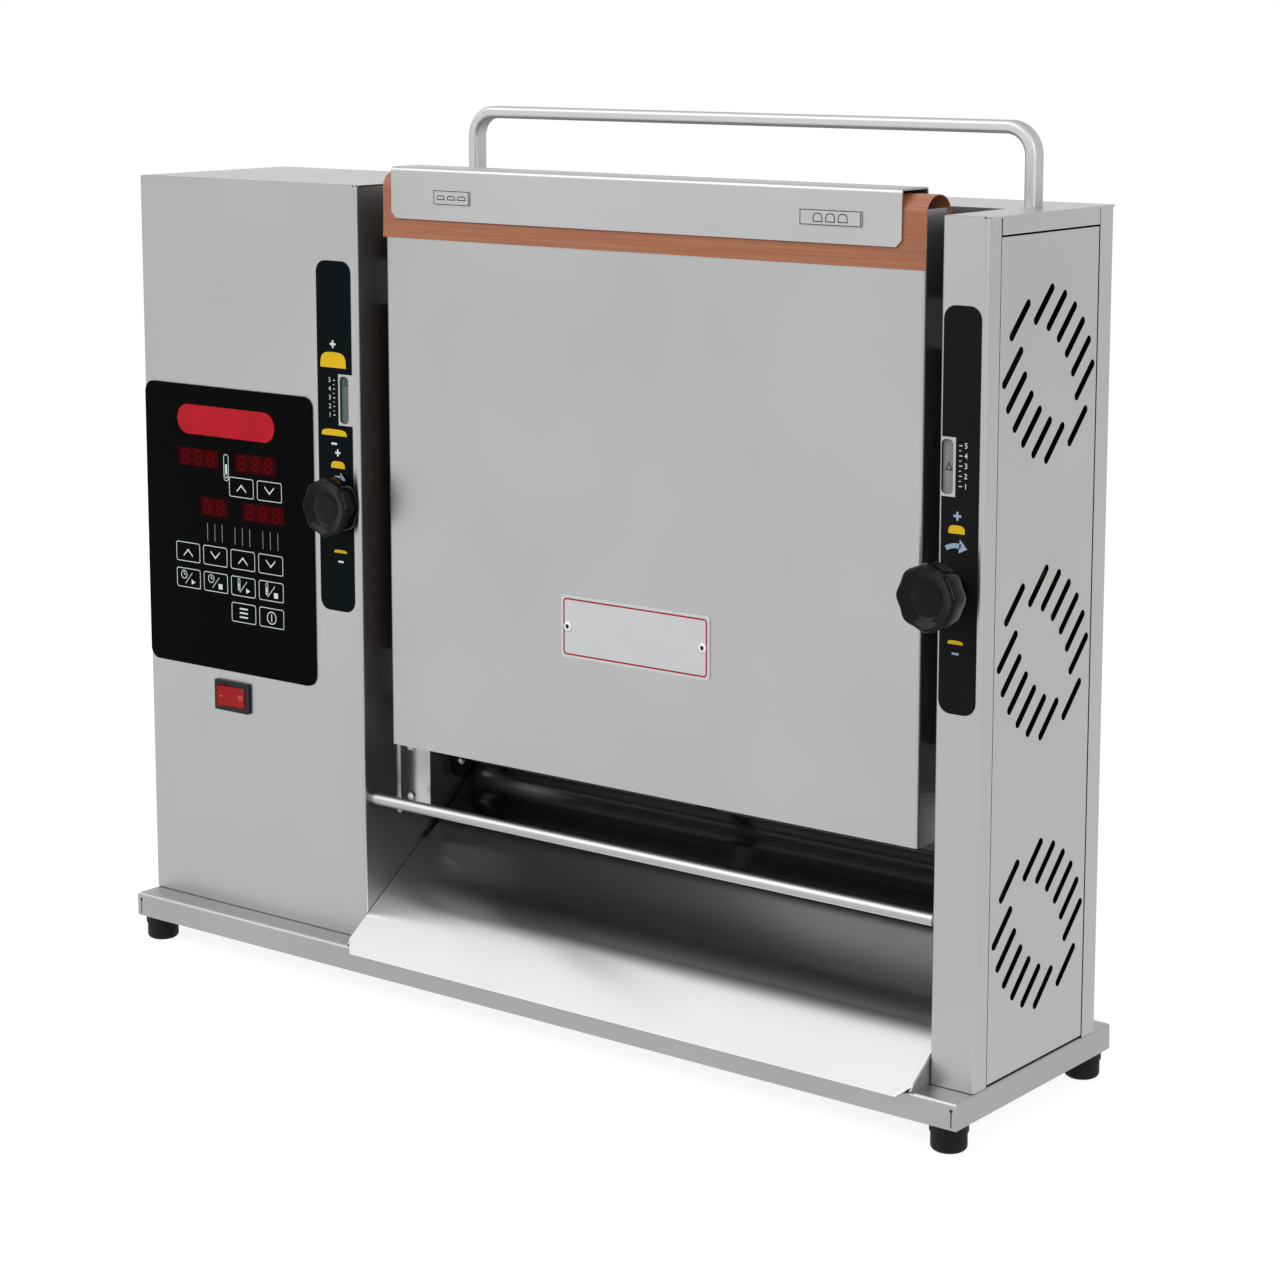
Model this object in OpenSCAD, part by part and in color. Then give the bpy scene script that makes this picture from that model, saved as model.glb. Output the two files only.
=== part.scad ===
// Vertical contact toaster: heated platen in front, two adjustable conveyors behind it.
// +X right, +Y back, +Z up. The origin is on the counter, under the middle of the toaster.

/* [Housing] */
// Overall width across both towers
body_w = 700; // [660:5:760]
// Width of the left tower, which holds the motor and controls
left_tower_w = 209; // [200:1:230]
// Width of the right tower
right_tower_w = 31; // [31:1:40]
// Depth of the towers
tower_d = 145; // [145:1:165]
// Height of the towers above the base
tower_h = 520; // [515:5:560]
// Thickness of the housing sheet
sheet_t = 1.2; // [1:0.1:1.5]
// Front flange beside each side panel
front_flange = 14; // [12:1:18]
// Rear flange beside each side panel
rear_flange = 17; // [14:1:20]
// Seam between neighbouring sheets
seam = 0.6; // [0.4:0.1:0.8]
// Outer radius of the sheet's bends
bend_r = 2.5; // [2:0.25:3]
// Height of the top cover's lip over the vented panel
lip_h = 11; // [9:1:14]

/* [Base] */
// Base in front of the towers
base_front = 19; // [16:1:24]
// Base behind the towers
base_rear = 19; // [19:1:24]
// Height of the base pan
base_h = 17; // [14:1:22]
// Thickness of the base sheet
base_t = 1.5; // [1.2:0.1:2]
// Width of the base pan's return flange
base_return = 26; // [24:1:32]
// Diameter of a foot
foot_d = 24; // [20:1:25]
// Height of a foot
foot_h = 17; // [12:1:22]

/* [Vents] */
// Length of a vent slot
slot_l = 30; // [26:1:32]
// Width of a vent slot
slot_w = 3.6; // [3:0.1:4]
// Distance between neighbouring slots
slot_pitch = 14; // [13:0.5:14.5]
// Distance between the middles of neighbouring rings
ring_pitch = 168; // [155:1:170]
// Half length of a ring along its slots
ring_a = 34.7; // [32:0.1:35]

/* [Handle] */
// Thickness of the handle bar
bar_t = 8; // [6:0.5:10]
// Depth of the handle bar
bar_d = 12; // [10:0.5:16]
// Height of the handle above the top cover
handle_h = 51; // [45:1:60]
// Outer radius of the handle's bends
handle_r = 21; // [18:1:26]
// Distance of the handle's legs from the ends of the top cover
handle_inset = 23; // [20:1:30]
// How much further the right leg stands from its end
handle_shift = 6; // [0:1:8]
// Distance of the handle behind the towers' front
handle_y = 98; // [90:1:110]

/* [Platen] */
// Space between the platen cover and each tower
cover_gap = 17.5; // [15:0.5:20]
// Distance of the platen cover behind the towers' front
cover_y = 10; // [8:0.5:12]
// Depth of the platen assembly
platen_depth = 25; // [25:0.5:28]
// Height of the platen cover's lower edge above the base
cover_z = 140; // [135:1:150]
// Thickness of the platen
platen_t = 9.5; // [8:0.5:10]
// Diameter of the heating elements
heater_d = 6; // [5.5:0.1:6.5]
// Thickness of the release sheet
release_t = 0.5; // [0.3:0.1:0.6]
// How far the release sheet hangs down in front of the cover's bend
release_front = 33; // [28:1:40]
// Height of the clip's front flange
clip_h = 34; // [30:1:40]

/* [Outlet] */
// Diameter of the guard rod
rod_d = 8; // [6:0.5:10]
// Height of the guard rod above the base
rod_z = 99; // [96:1:104]
// Distance of the guard rod behind the towers' front
rod_y = 9; // [7:0.5:12]
// Side clearance of the outlet chute
chute_gap = 3; // [2:0.5:5]
// How far the chute's lip hangs over the base's front
chute_lip = 7; // [5:0.5:10]
// How far the chute's lip lies below the base's top
chute_drop = 1.4; // [0:0.2:2]
// Slope of the chute, in degrees
chute_slope = 35.4; // [33:0.2:37]
// Slope of the chute behind its bend, in degrees
chute_back_slope = 62; // [58:1:66]

/* [Conveyors] */
// Diameter of the drive shaft
shaft_d = 12; // [10:0.5:14]
// Height of the drive shaft above the base
shaft_z = 137; // [133:1:141]
// Distance of the drive shaft behind the towers' front
shaft_y = 94; // [92:0.5:96]
// Distance of the idlers' axis below the towers' top
idler_drop = 40; // [38:1:60]
// Radius of the rollers
roller_r = 21.6; // [20:0.1:22]
// Thickness of a belt
belt_t = 2; // [1.5:0.1:2.2]
// Height of a belt's ribs
rib_h = 1.2; // [0.8:0.1:1.5]
// Distance of a conveyor's outer side plate from the tower
plate_gap = 21; // [19:0.5:23]
// Thickness of a conveyor's side plates
plate_t = 3; // [2.5:0.1:4]
// Module of the drive gears
gear_m = 1.5; // [1.25:0.25:1.5]
// Teeth of the gear on the drive shaft
gear_teeth = 36; // [32:4:36]
// Teeth of the motor's pinion
pinion_teeth = 18; // [18:4:22]

/* [Crush adjusters] */
// Height of the knobs above the base
knob_z = 303; // [295:1:310]
// Distance of the left knob's axis from the left tower's inner wall
knob_in_l = 17; // [17:0.5:20]
// Distance of the right knob's axis from the right tower's inner wall
knob_in_r = 13; // [13:0.5:15]
// Diameter of a knob
knob_d = 41; // [36:1:44]
// Thickness of a knob
knob_h = 16; // [14:1:20]
// Space between the left knob and the tower
standoff_l = 2; // [2:0.5:10]
// Space between the right knob and the tower
standoff_r = 18; // [8:0.5:20]
// Diameter of the adjuster screws
screw_d = 8; // [8:0.5:9]
// Travel of a screw's nut in one turn
screw_lead = 12; // [10:1:12]
// Turn of a knob from one end of its scale to the other, in degrees
knob_turn = 230; // [200:5:235]
// Diameter of the nut's pin
pin_d = 8; // [6:0.5:9]
// Module of the pointer's rack and pinion
rack_m = 0.75; // [0.7:0.05:0.75]
// Teeth of the pointer's pinion
rack_teeth = 16; // [16:4:16]

/* [Controls] */
// Width of the control overlay
overlay_w = 164; // [160:1:166]
// Height of the control overlay
overlay_h = 202; // [198:1:206]
// Thickness of the control overlay
overlay_t = 1.2; // [1:0.1:1.5]
// Width of a key
key_w = 24.4; // [20:0.1:25]
// Height of a key
key_h = 14.4; // [12:0.1:15]
// Travel of a key
key_travel = 0.4; // [0.3:0.1:0.4]
// Width of the rocker switch's bezel
switch_w = 34; // [33:0.5:38]
// Height of the rocker switch's bezel
switch_h = 22; // [21:0.5:26]
// Tilt of the rocker to either side, in degrees
rocker_tilt = 8; // [5:1:8]

/* [Fits] */
// Running clearance of a shaft in its bore, on the radius
run_fit = 0.05; // [0.03:0.01:0.08]
// Clearance of pieces that slide past each other
slide_fit = 0.3; // [0.25:0.05:0.4]
// Clearance of fixed pieces set into each other
set_fit = 0.1; // [0.05:0.05:0.2]

/* [Hidden] */
$fn = 64;
eps = 0.01;

// Reach of the pieces in front of the towers, which sets the origin
front_reach = max(base_front + 1, standoff_r + knob_h, standoff_l + knob_h);
y_front = (front_reach - tower_d - base_rear) / 2;
z_base = foot_h + base_h;

// Walls of the towers, across X
side_reach = max(0, knob_d / 2 + knob_in_r - right_tower_w);
x_l = -(body_w + side_reach) / 2;
x_r = x_l + body_w;
x_li = x_l + left_tower_w;
x_ri = x_r - right_tower_w;
x_mid = (x_li + x_ri) / 2;
top_z = tower_h - sheet_t;
hood_y = 70;
ring_y = tower_d / 2 - 1.5;
ring_z = tower_h / 2 - 4;
// Shadow gaps: behind the towers' top edges and under their fronts
top_gap = 2 * sheet_t;
reveal = 0.5;

// Platen assembly
cover_x0 = x_li + cover_gap;
cover_x1 = x_ri - cover_gap;
cover_top = tower_h + 2;
// Arch of the release sheet over the platen cover
roll_r = platen_depth / 2;
roll_y = cover_y + roll_r;
roll_z = tower_h - 1;
platen_y1 = cover_y + platen_depth;
platen_y0 = platen_y1 - platen_t;
board_y0 = cover_y + sheet_t + set_fit;
heater_y = platen_y0 - set_fit - heater_d / 2;
board_t = heater_y - heater_d / 2 - set_fit - board_y0;
platen_z0 = cover_z + 10;
platen_z1 = roll_z - 20;
hairpin_gap = 34;
hairpin_z = [platen_z0 + 50, knob_z + 55, platen_z1 - 50];
release_r = roll_r + set_fit;
clip_r = release_r + release_t + set_fit;
clip_x0 = cover_x0 + 7.5;
clip_x1 = cover_x1 - 15.5;

// Conveyors
belt_ri = roller_r + slide_fit;
belt_ro = belt_ri + belt_t;
idler_z = tower_h - idler_drop;
roller_span = idler_z - shaft_z;
idler_pin_d = 10;
plate_r = roller_r - 4;
mid_gap = 6;
side_gap = 2.5;
rib_w = 5;
rib_pitch = 15.4;
cross_d = 12;
cross_low = 90;
cross_high = 80;
// Flanged bearings of the drive shaft, with a lobe above and one below it
flange_t = 6;
flange_d = 40;
lobe_z = 27;
lobe_d = 25;
// Outer faces of each conveyor's side plates
heel_x = [x_li + plate_gap, x_mid - mid_gap / 2];
crown_x = [x_mid + mid_gap / 2, x_ri - plate_gap];

// Outlet: guard rod and chute
rod_end_d = rod_d - 2;
rod_neck = 3.5;
chute_r = 30;
chute_clear = 3;
chute_flange = 15;
chute_chamfer = 6;

// Adjusters
knob_x_l = x_li - knob_in_l;
knob_x_r = x_ri + knob_in_r;
nut_y = shaft_y;
nut_travel = screw_lead * knob_turn / 360;
nut_half = 9;
nut_l = 16;
web_y = nut_y + nut_l / 2 + nut_travel + 1.5;
bracket_t = 2;
rack_y0 = sheet_t + 1;
rack_t = 3;
rack_pitch_r = rack_m * rack_teeth / 2;
rack_travel = rack_pitch_r * knob_turn * PI / 180;
rack_back = 5;
window_w = 8;
window_h = rack_travel + 8;
window_x_l = knob_x_l + 4;
window_x_r = knob_x_r - 7.2;
window_z = knob_z + 72;
guide_h = 8;
guide_low = 18;
guide_high = 116;

// Controls, from the left tower's left edge
overlay_x = x_l + 2 + overlay_w / 2;
overlay_z = 273.5;
overlay_top = overlay_z + overlay_h / 2;
key_x = [for (i = [0:3]) x_l + 42.5 + 27.4 * i];
key_z = [for (drop = [69, 120.5, 139.4, 158.3]) overlay_top - drop];
KEYS = [
    [2, 0], [3, 0],
    [0, 1], [1, 1], [2, 1], [3, 1],
    [0, 2], [1, 2], [2, 2], [3, 2],
    [2, 3], [3, 3]
];
// Displays: middle across, middle up, width
display_z = [for (drop = [51.5, 85.5]) overlay_top - drop];
DISPLAYS = [
    [54.4, display_z[0], 40], [110.9, display_z[0], 40],
    [69.2, display_z[1], 27], [117.8, display_z[1], 41]
];
display_h = 13;
board_y = 12;
stem_d = 4;
switch_x = x_l + 84;
switch_z = 154.5;
rocker_y = 1;
rocker_half = switch_w / 2 - 5;
rocker_h = switch_h - 8;

// Drive
gear_x0 = x_li - 28;
gear_w = 12;
motor_z = shaft_z + gear_m * (gear_teeth + pinion_teeth) / 2;
motor_plate_x = gear_x0 - 12;
motor_shaft_d = 8;
gearbox_w = 60;
gearbox_l = 50;
motor_d = 54;
motor_l = 62;
motor_cap_d = 18;
motor_cap_l = 6;
motor_bore_l = 20;

// Cable gland on the rear cover
gland_d = 16;
gland_x = x_l + 50;
gland_z = 60;

// Screws: side guides and rear cover
screw_hole = 4.2;
guide_t = 1.5;
guide_flange = 8.5;
guide_y0 = 36;
guide_y1 = 60;
guide_z0 = 83;
guide_z1 = 165;
guide_screw_y = guide_y0 + 12;
guide_screw_z = [guide_z0 + 9.6, guide_z0 + 45];
// Rear cover's screws as (X, Z)
rear_inset = [30, 20, 14];
rear_screws = [
    for (x = [x_l + rear_inset[0], x_li - rear_inset[1], x_mid, x_r - rear_inset[2]],
            z = [rear_inset[2], top_z - rear_inset[2]])
        [x, z]
];

// Box between two corners, measured from the towers' front and the base's top
module block(x, y, z) {
    translate([x[0], y_front + y[0], z_base + z[0]])
        cube([x[1] - x[0], y[1] - y[0], z[1] - z[0]]);
}

// Round bar along X
module bar_x(x, y, z, d) {
    translate([x[0], y_front + y, z_base + z])
        rotate([0, 90, 0])
            cylinder(d = d, h = x[1] - x[0]);
}

// Round bar along Y
module bar_y(x, y, z, d) {
    translate([x, y_front + y[0], z_base + z])
        rotate([-90, 0, 0])
            cylinder(d = d, h = y[1] - y[0]);
}

// A side view, drawn as (Y, Z), swept along X
module sweep_x(x) {
    translate([x[0], y_front, z_base])
        rotate([90, 0, 90])
            linear_extrude(x[1] - x[0])
                children();
}

// A front view, drawn as (X, Z), swept along Y
module sweep_y(y) {
    translate([0, y_front + y[1], z_base])
        rotate([90, 0, 0])
            linear_extrude(y[1] - y[0])
                children();
}

// Rectangle between two corners
module rect(x, y) {
    translate([x[0], y[0]])
        square([x[1] - x[0], y[1] - y[0]]);
}

// Rectangle with round corners, about its middle
module round_rect(w, h, r) {
    square([w - 2 * r, h], center = true);
    square([w, h - 2 * r], center = true);
    for (x = [-1, 1], y = [-1, 1])
        translate([x * (w / 2 - r), y * (h / 2 - r)])
            circle(r = r);
}

// Rectangle that stands on y = 0, with round upper corners
module round_top(w, h, r) {
    translate([-w / 2, 0])
        square([w, h - r]);
    translate([-w / 2 + r, 0])
        square([w - 2 * r, h]);
    for (x = [-1, 1])
        translate([x * (w / 2 - r), h - r])
            circle(r = r);
}

// Folded sheet seen from above, as (X, Y): a front and two sides that run back to y = d
module fold(x, d) {
    w = x[1] - x[0];
    translate([(x[0] + x[1]) / 2, d])
        mirror([0, 1])
            difference() {
                round_top(w, d, bend_r);
                translate([0, -1])
                    round_top(w - 2 * sheet_t, d - sheet_t + 1, bend_r - sheet_t);
            }
}

// A plan, drawn as (X, Y), raised along Z
module raise(z) {
    translate([0, y_front, z_base + z[0]])
        linear_extrude(z[1] - z[0])
            children();
}

// Slot with round ends, along X
module slot(l, w) {
    square([l - w, w], center = true);
    for (x = [-1, 1])
        translate([x * (l - w) / 2, 0])
            circle(d = w);
}

function polar(r, a) = [r * cos(a), r * sin(a)];
function involute(a) = tan(a) * 180 / PI - a;

// Spur gear with involute flanks
module gear_outline(m, teeth, backlash) {
    pressure = 20;
    pitch_r = m * teeth / 2;
    base_r = pitch_r * cos(pressure);
    root_r = pitch_r - 1.25 * m;
    tip_r = pitch_r + m;
    start_r = max(base_r, root_r);
    steps = 4;
    half = 90 / teeth + involute(pressure) - backlash / pitch_r * 90 / PI;
    flank = [for (i = [0:steps]) start_r + (tip_r - start_r) * i / steps];
    function spread(r) = half - involute(acos(base_r / r));
    polygon([
        for (i = [0:teeth - 1])
            let (c = 360 / teeth * i)
                each concat(
                    [polar(root_r, c - spread(start_r))],
                    [for (r = flank) polar(r, c - spread(r))],
                    [for (k = [steps:-1:0]) polar(flank[k], c + spread(flank[k]))],
                    [polar(root_r, c + spread(start_r))]
                )
    ]);
}

// Rack drawn up the page, pitch line on x = 0, bar towards +x, a gap at y = 0
module rack_outline(z, back, teeth_z) {
    pitch = PI * rack_m;
    backlash = 0.08;
    slope = tan(20);
    deep = 1.25 * rack_m;
    tip = 0.85 * rack_m;
    half = pitch / 4 - backlash;
    first = ceil(teeth_z[0] / pitch - 0.5);
    last = floor(teeth_z[1] / pitch - 0.5);
    polygon(concat(
        [[deep, z[0]]],
        [
            for (k = [first:last])
                let (c = (k + 0.5) * pitch)
                    each [
                        [deep, c - half - deep * slope],
                        [-tip, c - half + tip * slope],
                        [-tip, c + half - tip * slope],
                        [deep, c + half + deep * slope]
                    ]
        ],
        [[deep, z[1]], [back, z[1]], [back, z[0]]]
    ));
}

// Ring of parallel slots, as (Y, Z)
module vent_ring() {
    ring_p = 3.5 * slot_pitch;
    rotate(45)
        for (i = [-3.5:3.5], s = i * i > 12 ? [0] : [-1, 1])
            translate([s * ring_a * sqrt(max(0, 1 - pow(i * slot_pitch / ring_p, 2))), i * slot_pitch])
                slot(slot_l, slot_w);
}

// Three vent rings on a side panel, as (Y, Z)
module vent_rings() {
    for (i = [-1:1])
        translate([ring_y, ring_z + i * ring_pitch])
            vent_ring();
}

module base_pan() {
    y0 = -base_front;
    y1 = tower_d + base_rear;
    color("gainsboro")
        difference() {
            intersection() {
                sweep_x([x_l, x_r])
                    translate([(y0 + y1) / 2, -base_h])
                        round_top(y1 - y0, base_h, bend_r);
                sweep_y([y0, y1])
                    translate([(x_l + x_r) / 2, -base_h])
                        round_top(body_w, base_h, bend_r);
            }
            block([x_l + base_t, x_r - base_t], [y0 + base_t, y1 - base_t], [-base_h + base_t, -base_t]);
            block([x_l + base_return, x_r - base_return], [y0 + base_return, y1 - base_return],
                [-base_h - eps, -base_h + base_t + eps]);
            // Bend reliefs at the front corners
            for (x = [x_l + 3.2, x_r - 4]) {
                block([x, x + 0.8], [y0 - eps, y0 + base_t + eps], [-base_h + base_t, -5]);
                bar_y(x + 0.4, [y0 - eps, y0 + base_t + eps], -5, 2.4);
            }
            for (x = [x_l, x_r], y = [y0, y1])
                foot_at(x, y)
                    translate([0, 0, -eps])
                        cylinder(d = screw_hole, h = base_t + 2 * eps);
        }
}

// Place of a foot beside a corner of the base, at the base's underside
module foot_at(x, y) {
    inset = foot_d / 2 + 0.5;
    translate([x - sign(x) * inset, y_front + y + (y < 0 ? inset : -inset), foot_h])
        children();
}

module feet() {
    edge = 3;
    color([0.08, 0.08, 0.08])
        for (x = [x_l, x_r], y = [-base_front, tower_d + base_rear])
            foot_at(x, y)
                rotate_extrude()
                    union() {
                        rect([0, foot_d / 2 - edge], [-foot_h, 0]);
                        rect([0, foot_d / 2 - 0.8], [-foot_h + edge, 0]);
                        rect([0, foot_d / 2], [-5, 0]);
                        translate([foot_d / 2 - edge - 0.8, -foot_h + edge])
                            circle(r = edge);
                        rect([0, screw_hole / 2 - set_fit], [0, base_t + 2]);
                        rect([0, screw_hole], [base_t, base_t + 2]);
                    }
}

// Openings in the left tower's front for the controls, as (X, Z)
module control_openings() {
    for (d = DISPLAYS)
        translate([x_l + d[0], d[1]])
            square([d[2] + 2 * set_fit, display_h + 2 * set_fit], center = true);
    for (k = KEYS)
        translate([key_x[k[0]], key_z[k[1]]])
            circle(d = stem_d + 2);
    translate([switch_x, switch_z])
        square([switch_w - 5 + 2 * set_fit, switch_h - 2 + 2 * set_fit], center = true);
}

// Knob bore and pointer window in a tower's front, as (X, Z)
module adjuster_openings(x, window_x) {
    translate([x, knob_z])
        circle(d = screw_d + 2 * run_fit);
    translate([window_x, window_z])
        round_rect(window_w, window_h, 3);
}

// Bend relief in a tower's top edge, as (X, Z)
module corner_relief(x) {
    translate([x, tower_h])
        circle(d = 2 * sheet_t);
}

// Slot for the nut's pin and bores for shaft and guard rod, as (Y, Z)
module inner_wall_openings() {
    translate([nut_y, knob_z])
        slot(2 * nut_travel + pin_d + 4 * slide_fit, pin_d + 2 * slide_fit);
    translate([shaft_y, shaft_z])
        circle(d = shaft_d + 8);
    translate([rod_y, rod_z])
        circle(d = rod_end_d + 2 * set_fit);
    for (z = guide_screw_z)
        translate([guide_screw_y, z])
            circle(d = screw_hole);
}

module left_tower_front() {
    color("silver")
        difference() {
            union() {
                raise([reveal, top_z])
                    difference() {
                        fold([x_l, x_li], tower_d - sheet_t);
                        rect([x_l - 1, x_l + 2 * sheet_t], [front_flange, tower_d]);
                    }
                raise([top_z - eps, tower_h])
                    intersection() {
                        fold([x_l, x_li], tower_d);
                        rect([x_l, x_li], [0, sheet_t]);
                    }
                block([x_l + sheet_t, x_li - sheet_t], [sheet_t - eps, front_flange], [0, sheet_t]);
            }
            sweep_y([-1, bend_r + 1]) {
                control_openings();
                adjuster_openings(knob_x_l, window_x_l);
                corner_relief(x_li - bend_r);
            }
            sweep_x([x_li - 2 * sheet_t, x_li + 1])
                inner_wall_openings();
        }
}

module left_tower_cover() {
    y = [front_flange + seam, tower_d - rear_flange - seam];
    color("silver") {
        sweep_x([x_l, x_l + sheet_t])
            difference() {
                rect(y, [2, tower_h]);
                vent_rings();
            }
        for (e = [y[0], y[1] - sheet_t])
            block([x_l, x_l + 10], [e, e + sheet_t], [2, tower_h - 2]);
        block([x_l, x_li - seam], [sheet_t + top_gap, tower_d], [top_z, tower_h]);
    }
}

module right_tower_front() {
    color("silver")
        difference() {
            union() {
                raise([reveal, top_z])
                    difference() {
                        fold([x_ri, x_r], tower_d - sheet_t);
                        rect([x_r - 2 * sheet_t, x_r + 1], [front_flange, tower_d]);
                    }
                raise([top_z - eps, tower_h])
                    intersection() {
                        fold([x_ri, x_r], tower_d);
                        rect([x_ri, x_r], [0, sheet_t]);
                    }
                block([x_ri + sheet_t, x_r - sheet_t], [sheet_t - eps, front_flange], [0, sheet_t]);
            }
            sweep_y([-1, bend_r + 1]) {
                adjuster_openings(knob_x_r, window_x_r);
                corner_relief(x_r - bend_r);
            }
            sweep_x([x_ri - 1, x_ri + 2 * sheet_t])
                inner_wall_openings();
        }
}

module vented_side_panel() {
    y = [front_flange + seam, tower_d - rear_flange - seam];
    z = [2, tower_h - lip_h - 2 * seam];
    color("silver") {
        sweep_x([x_r - sheet_t, x_r])
            difference() {
                rect(y, z);
                vent_rings();
            }
        for (e = [y[0], y[1] - sheet_t])
            block([x_r - 10, x_r], [e, e + sheet_t], z);
    }
}

module rear_cover() {
    color("silver")
        difference() {
            raise([0, top_z])
                translate([0, tower_d])
                    mirror([0, 1])
                        fold([x_l, x_r], rear_flange);
            bar_y(gland_x, [tower_d - 2 * sheet_t, tower_d + 1], gland_z, gland_d + 2 * set_fit);
            for (s = rear_screws)
                bar_y(s[0], [tower_d - 2 * sheet_t, tower_d + 1], s[1], screw_hole);
        }
}

module top_cover() {
    y = [sheet_t + top_gap, tower_d];
    color("gainsboro") {
        block([x_ri, x_r], y, [top_z, tower_h]);
        block([x_li, x_r], [hood_y, tower_d], [top_z, tower_h]);
        block([x_li, x_ri], [hood_y, hood_y + sheet_t], [tower_h - 9, tower_h]);
        block([x_r - sheet_t, x_r], [front_flange + 2 * seam, tower_d - rear_flange - seam],
            [tower_h - lip_h, tower_h]);
    }
}

// Cross-section of the handle bar: its thickness along x, its depth along y
module bar_section() {
    round_rect(bar_t, bar_d, 2.6);
}

module handle_bar() {
    x0 = x_li + handle_inset;
    x1 = x_r - handle_inset - handle_shift;
    mid_r = handle_r - bar_t / 2;
    bend_z = handle_h - handle_r;
    color("gainsboro")
        translate([0, y_front + handle_y, z_base + tower_h]) {
            for (x = [x0, x1])
                translate([x, 0, 0])
                    linear_extrude(bend_z)
                        bar_section();
            translate([x0 + mid_r, 0, handle_h - bar_t / 2])
                rotate([0, 90, 0])
                    linear_extrude(x1 - x0 - 2 * mid_r)
                        bar_section();
            for (e = [[x0 + mid_r, 90], [x1 - mid_r, 0]])
                translate([e[0], 0, bend_z])
                    rotate([90, 0, 0])
                        rotate_extrude(angle = 90, start = e[1])
                            translate([mid_r, 0])
                                bar_section();
        }
}

// Platen cover's form, drawn in by the inset: bent at the front corners and along the top
module cover_form(inset) {
    x = [cover_x0 + inset, cover_x1 - inset];
    y = [cover_y + inset, platen_y1 - inset];
    r = bend_r - inset;
    intersection() {
        sweep_x(x)
            translate([(y[0] + y[1]) / 2, cover_z - inset])
                round_top(y[1] - y[0], cover_top - cover_z, r);
        raise([cover_z - inset, cover_top])
            translate([(x[0] + x[1]) / 2, platen_y1])
                mirror([0, 1])
                    round_top(x[1] - x[0], platen_y1 - y[0], r);
    }
}

module platen_cover() {
    x = [cover_x0 + sheet_t, cover_x1 - sheet_t];
    color("silver") {
        difference() {
            cover_form(0);
            cover_form(sheet_t);
            block(x, [platen_y1 - 2 * sheet_t, platen_y1 + 1], [cover_z - 1, platen_z1 + 1]);
        }
        block([x[0] - eps, x[1] + eps], [cover_y + sheet_t - eps, platen_y0 - 1], [cover_z, cover_z + sheet_t]);
    }
}

module insulation_board() {
    color("ivory")
        block([cover_x0 + bend_r + set_fit, cover_x1 - bend_r - set_fit],
            [board_y0, board_y0 + board_t], [platen_z0, platen_z1]);
}

module heating_elements() {
    end_x = cover_x0 + 14;
    bend_x = cover_x1 - 40;
    color("dimgray")
        for (z = hairpin_z) {
            for (s = [-1, 1])
                bar_x([end_x, bend_x], heater_y, z + s * hairpin_gap / 2, heater_d);
            translate([bend_x, y_front + heater_y, z_base + z])
                rotate([90, 0, 0])
                    rotate_extrude(angle = 180, start = -90)
                        translate([hairpin_gap / 2, 0])
                            circle(d = heater_d);
        }
}

module platen() {
    color("darkgray")
        block([cover_x0 + sheet_t + set_fit, cover_x1 - sheet_t - set_fit],
            [platen_y0, platen_y1], [platen_z0, platen_z1]);
}

module platen_brackets() {
    t = 3;
    h = 30;
    color("gray")
        for (x = [[x_li, cover_x0], [cover_x1, x_ri]], z = [platen_z0 + 20, platen_z1 - 60])
            block(x, [platen_y1 - 2 - t, platen_y1 - 2], [z, z + h]);
}

module release_sheet() {
    color("sienna")
        sweep_x([cover_x0 - 1, cover_x1 + 1]) {
            difference() {
                translate([roll_y, roll_z])
                    circle(r = release_r + release_t);
                translate([roll_y, roll_z])
                    circle(r = release_r);
                rect([0, 2 * roll_y], [roll_z - 2 * roll_r, roll_z]);
            }
            rect([roll_y - release_r - release_t, roll_y - release_r], [roll_z - release_front, roll_z]);
            rect([roll_y + release_r, roll_y + release_r + release_t], [platen_z0, roll_z]);
        }
}

module sheet_clip() {
    t = sheet_t;
    y0 = roll_y - clip_r - t;
    y1 = roll_y + clip_r + t;
    z1 = roll_z + clip_r + t;
    chamfer = 4;
    color("silver")
        difference() {
            sweep_x([clip_x0, clip_x1])
                difference() {
                    translate([roll_y, z1 - clip_h])
                        round_top(y1 - y0, clip_h, bend_r);
                    rect([y0 + t, y1 - t], [z1 - clip_h - 1, z1 - t]);
                    rect([y1 - t - 1, y1 + 1], [z1 - clip_h - 1, z1 - 10]);
                }
            for (x = [clip_x0, clip_x1])
                translate([x, y_front + y0 + t / 2, z_base + z1 - clip_h])
                    rotate([0, 45, 0])
                        cube([chamfer * sqrt(2), 2 * t, chamfer * sqrt(2)], center = true);
        }
}

module side_guides() {
    color("silver")
        for (side = [[x_li, 1], [x_ri, -1]])
            translate([side[0], 0, 0])
                mirror([side[1] < 0 ? 1 : 0, 0, 0])
                    difference() {
                        union() {
                            block([0, guide_t], [guide_y0, guide_y1], [guide_z0, guide_z1]);
                            block([0, guide_flange], [guide_y1 - guide_t, guide_y1], [guide_z0, guide_z1]);
                        }
                        for (z = guide_screw_z)
                            bar_x([-1, guide_t + 1], guide_screw_y, z, screw_hole);
                    }
}

module guard_rod() {
    color("gainsboro") {
        bar_x([x_li + rod_neck, x_ri - rod_neck], rod_y, rod_z, rod_d);
        bar_x([x_li - sheet_t - 2, x_ri + sheet_t + 2], rod_y, rod_z, rod_end_d);
    }
}

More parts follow.
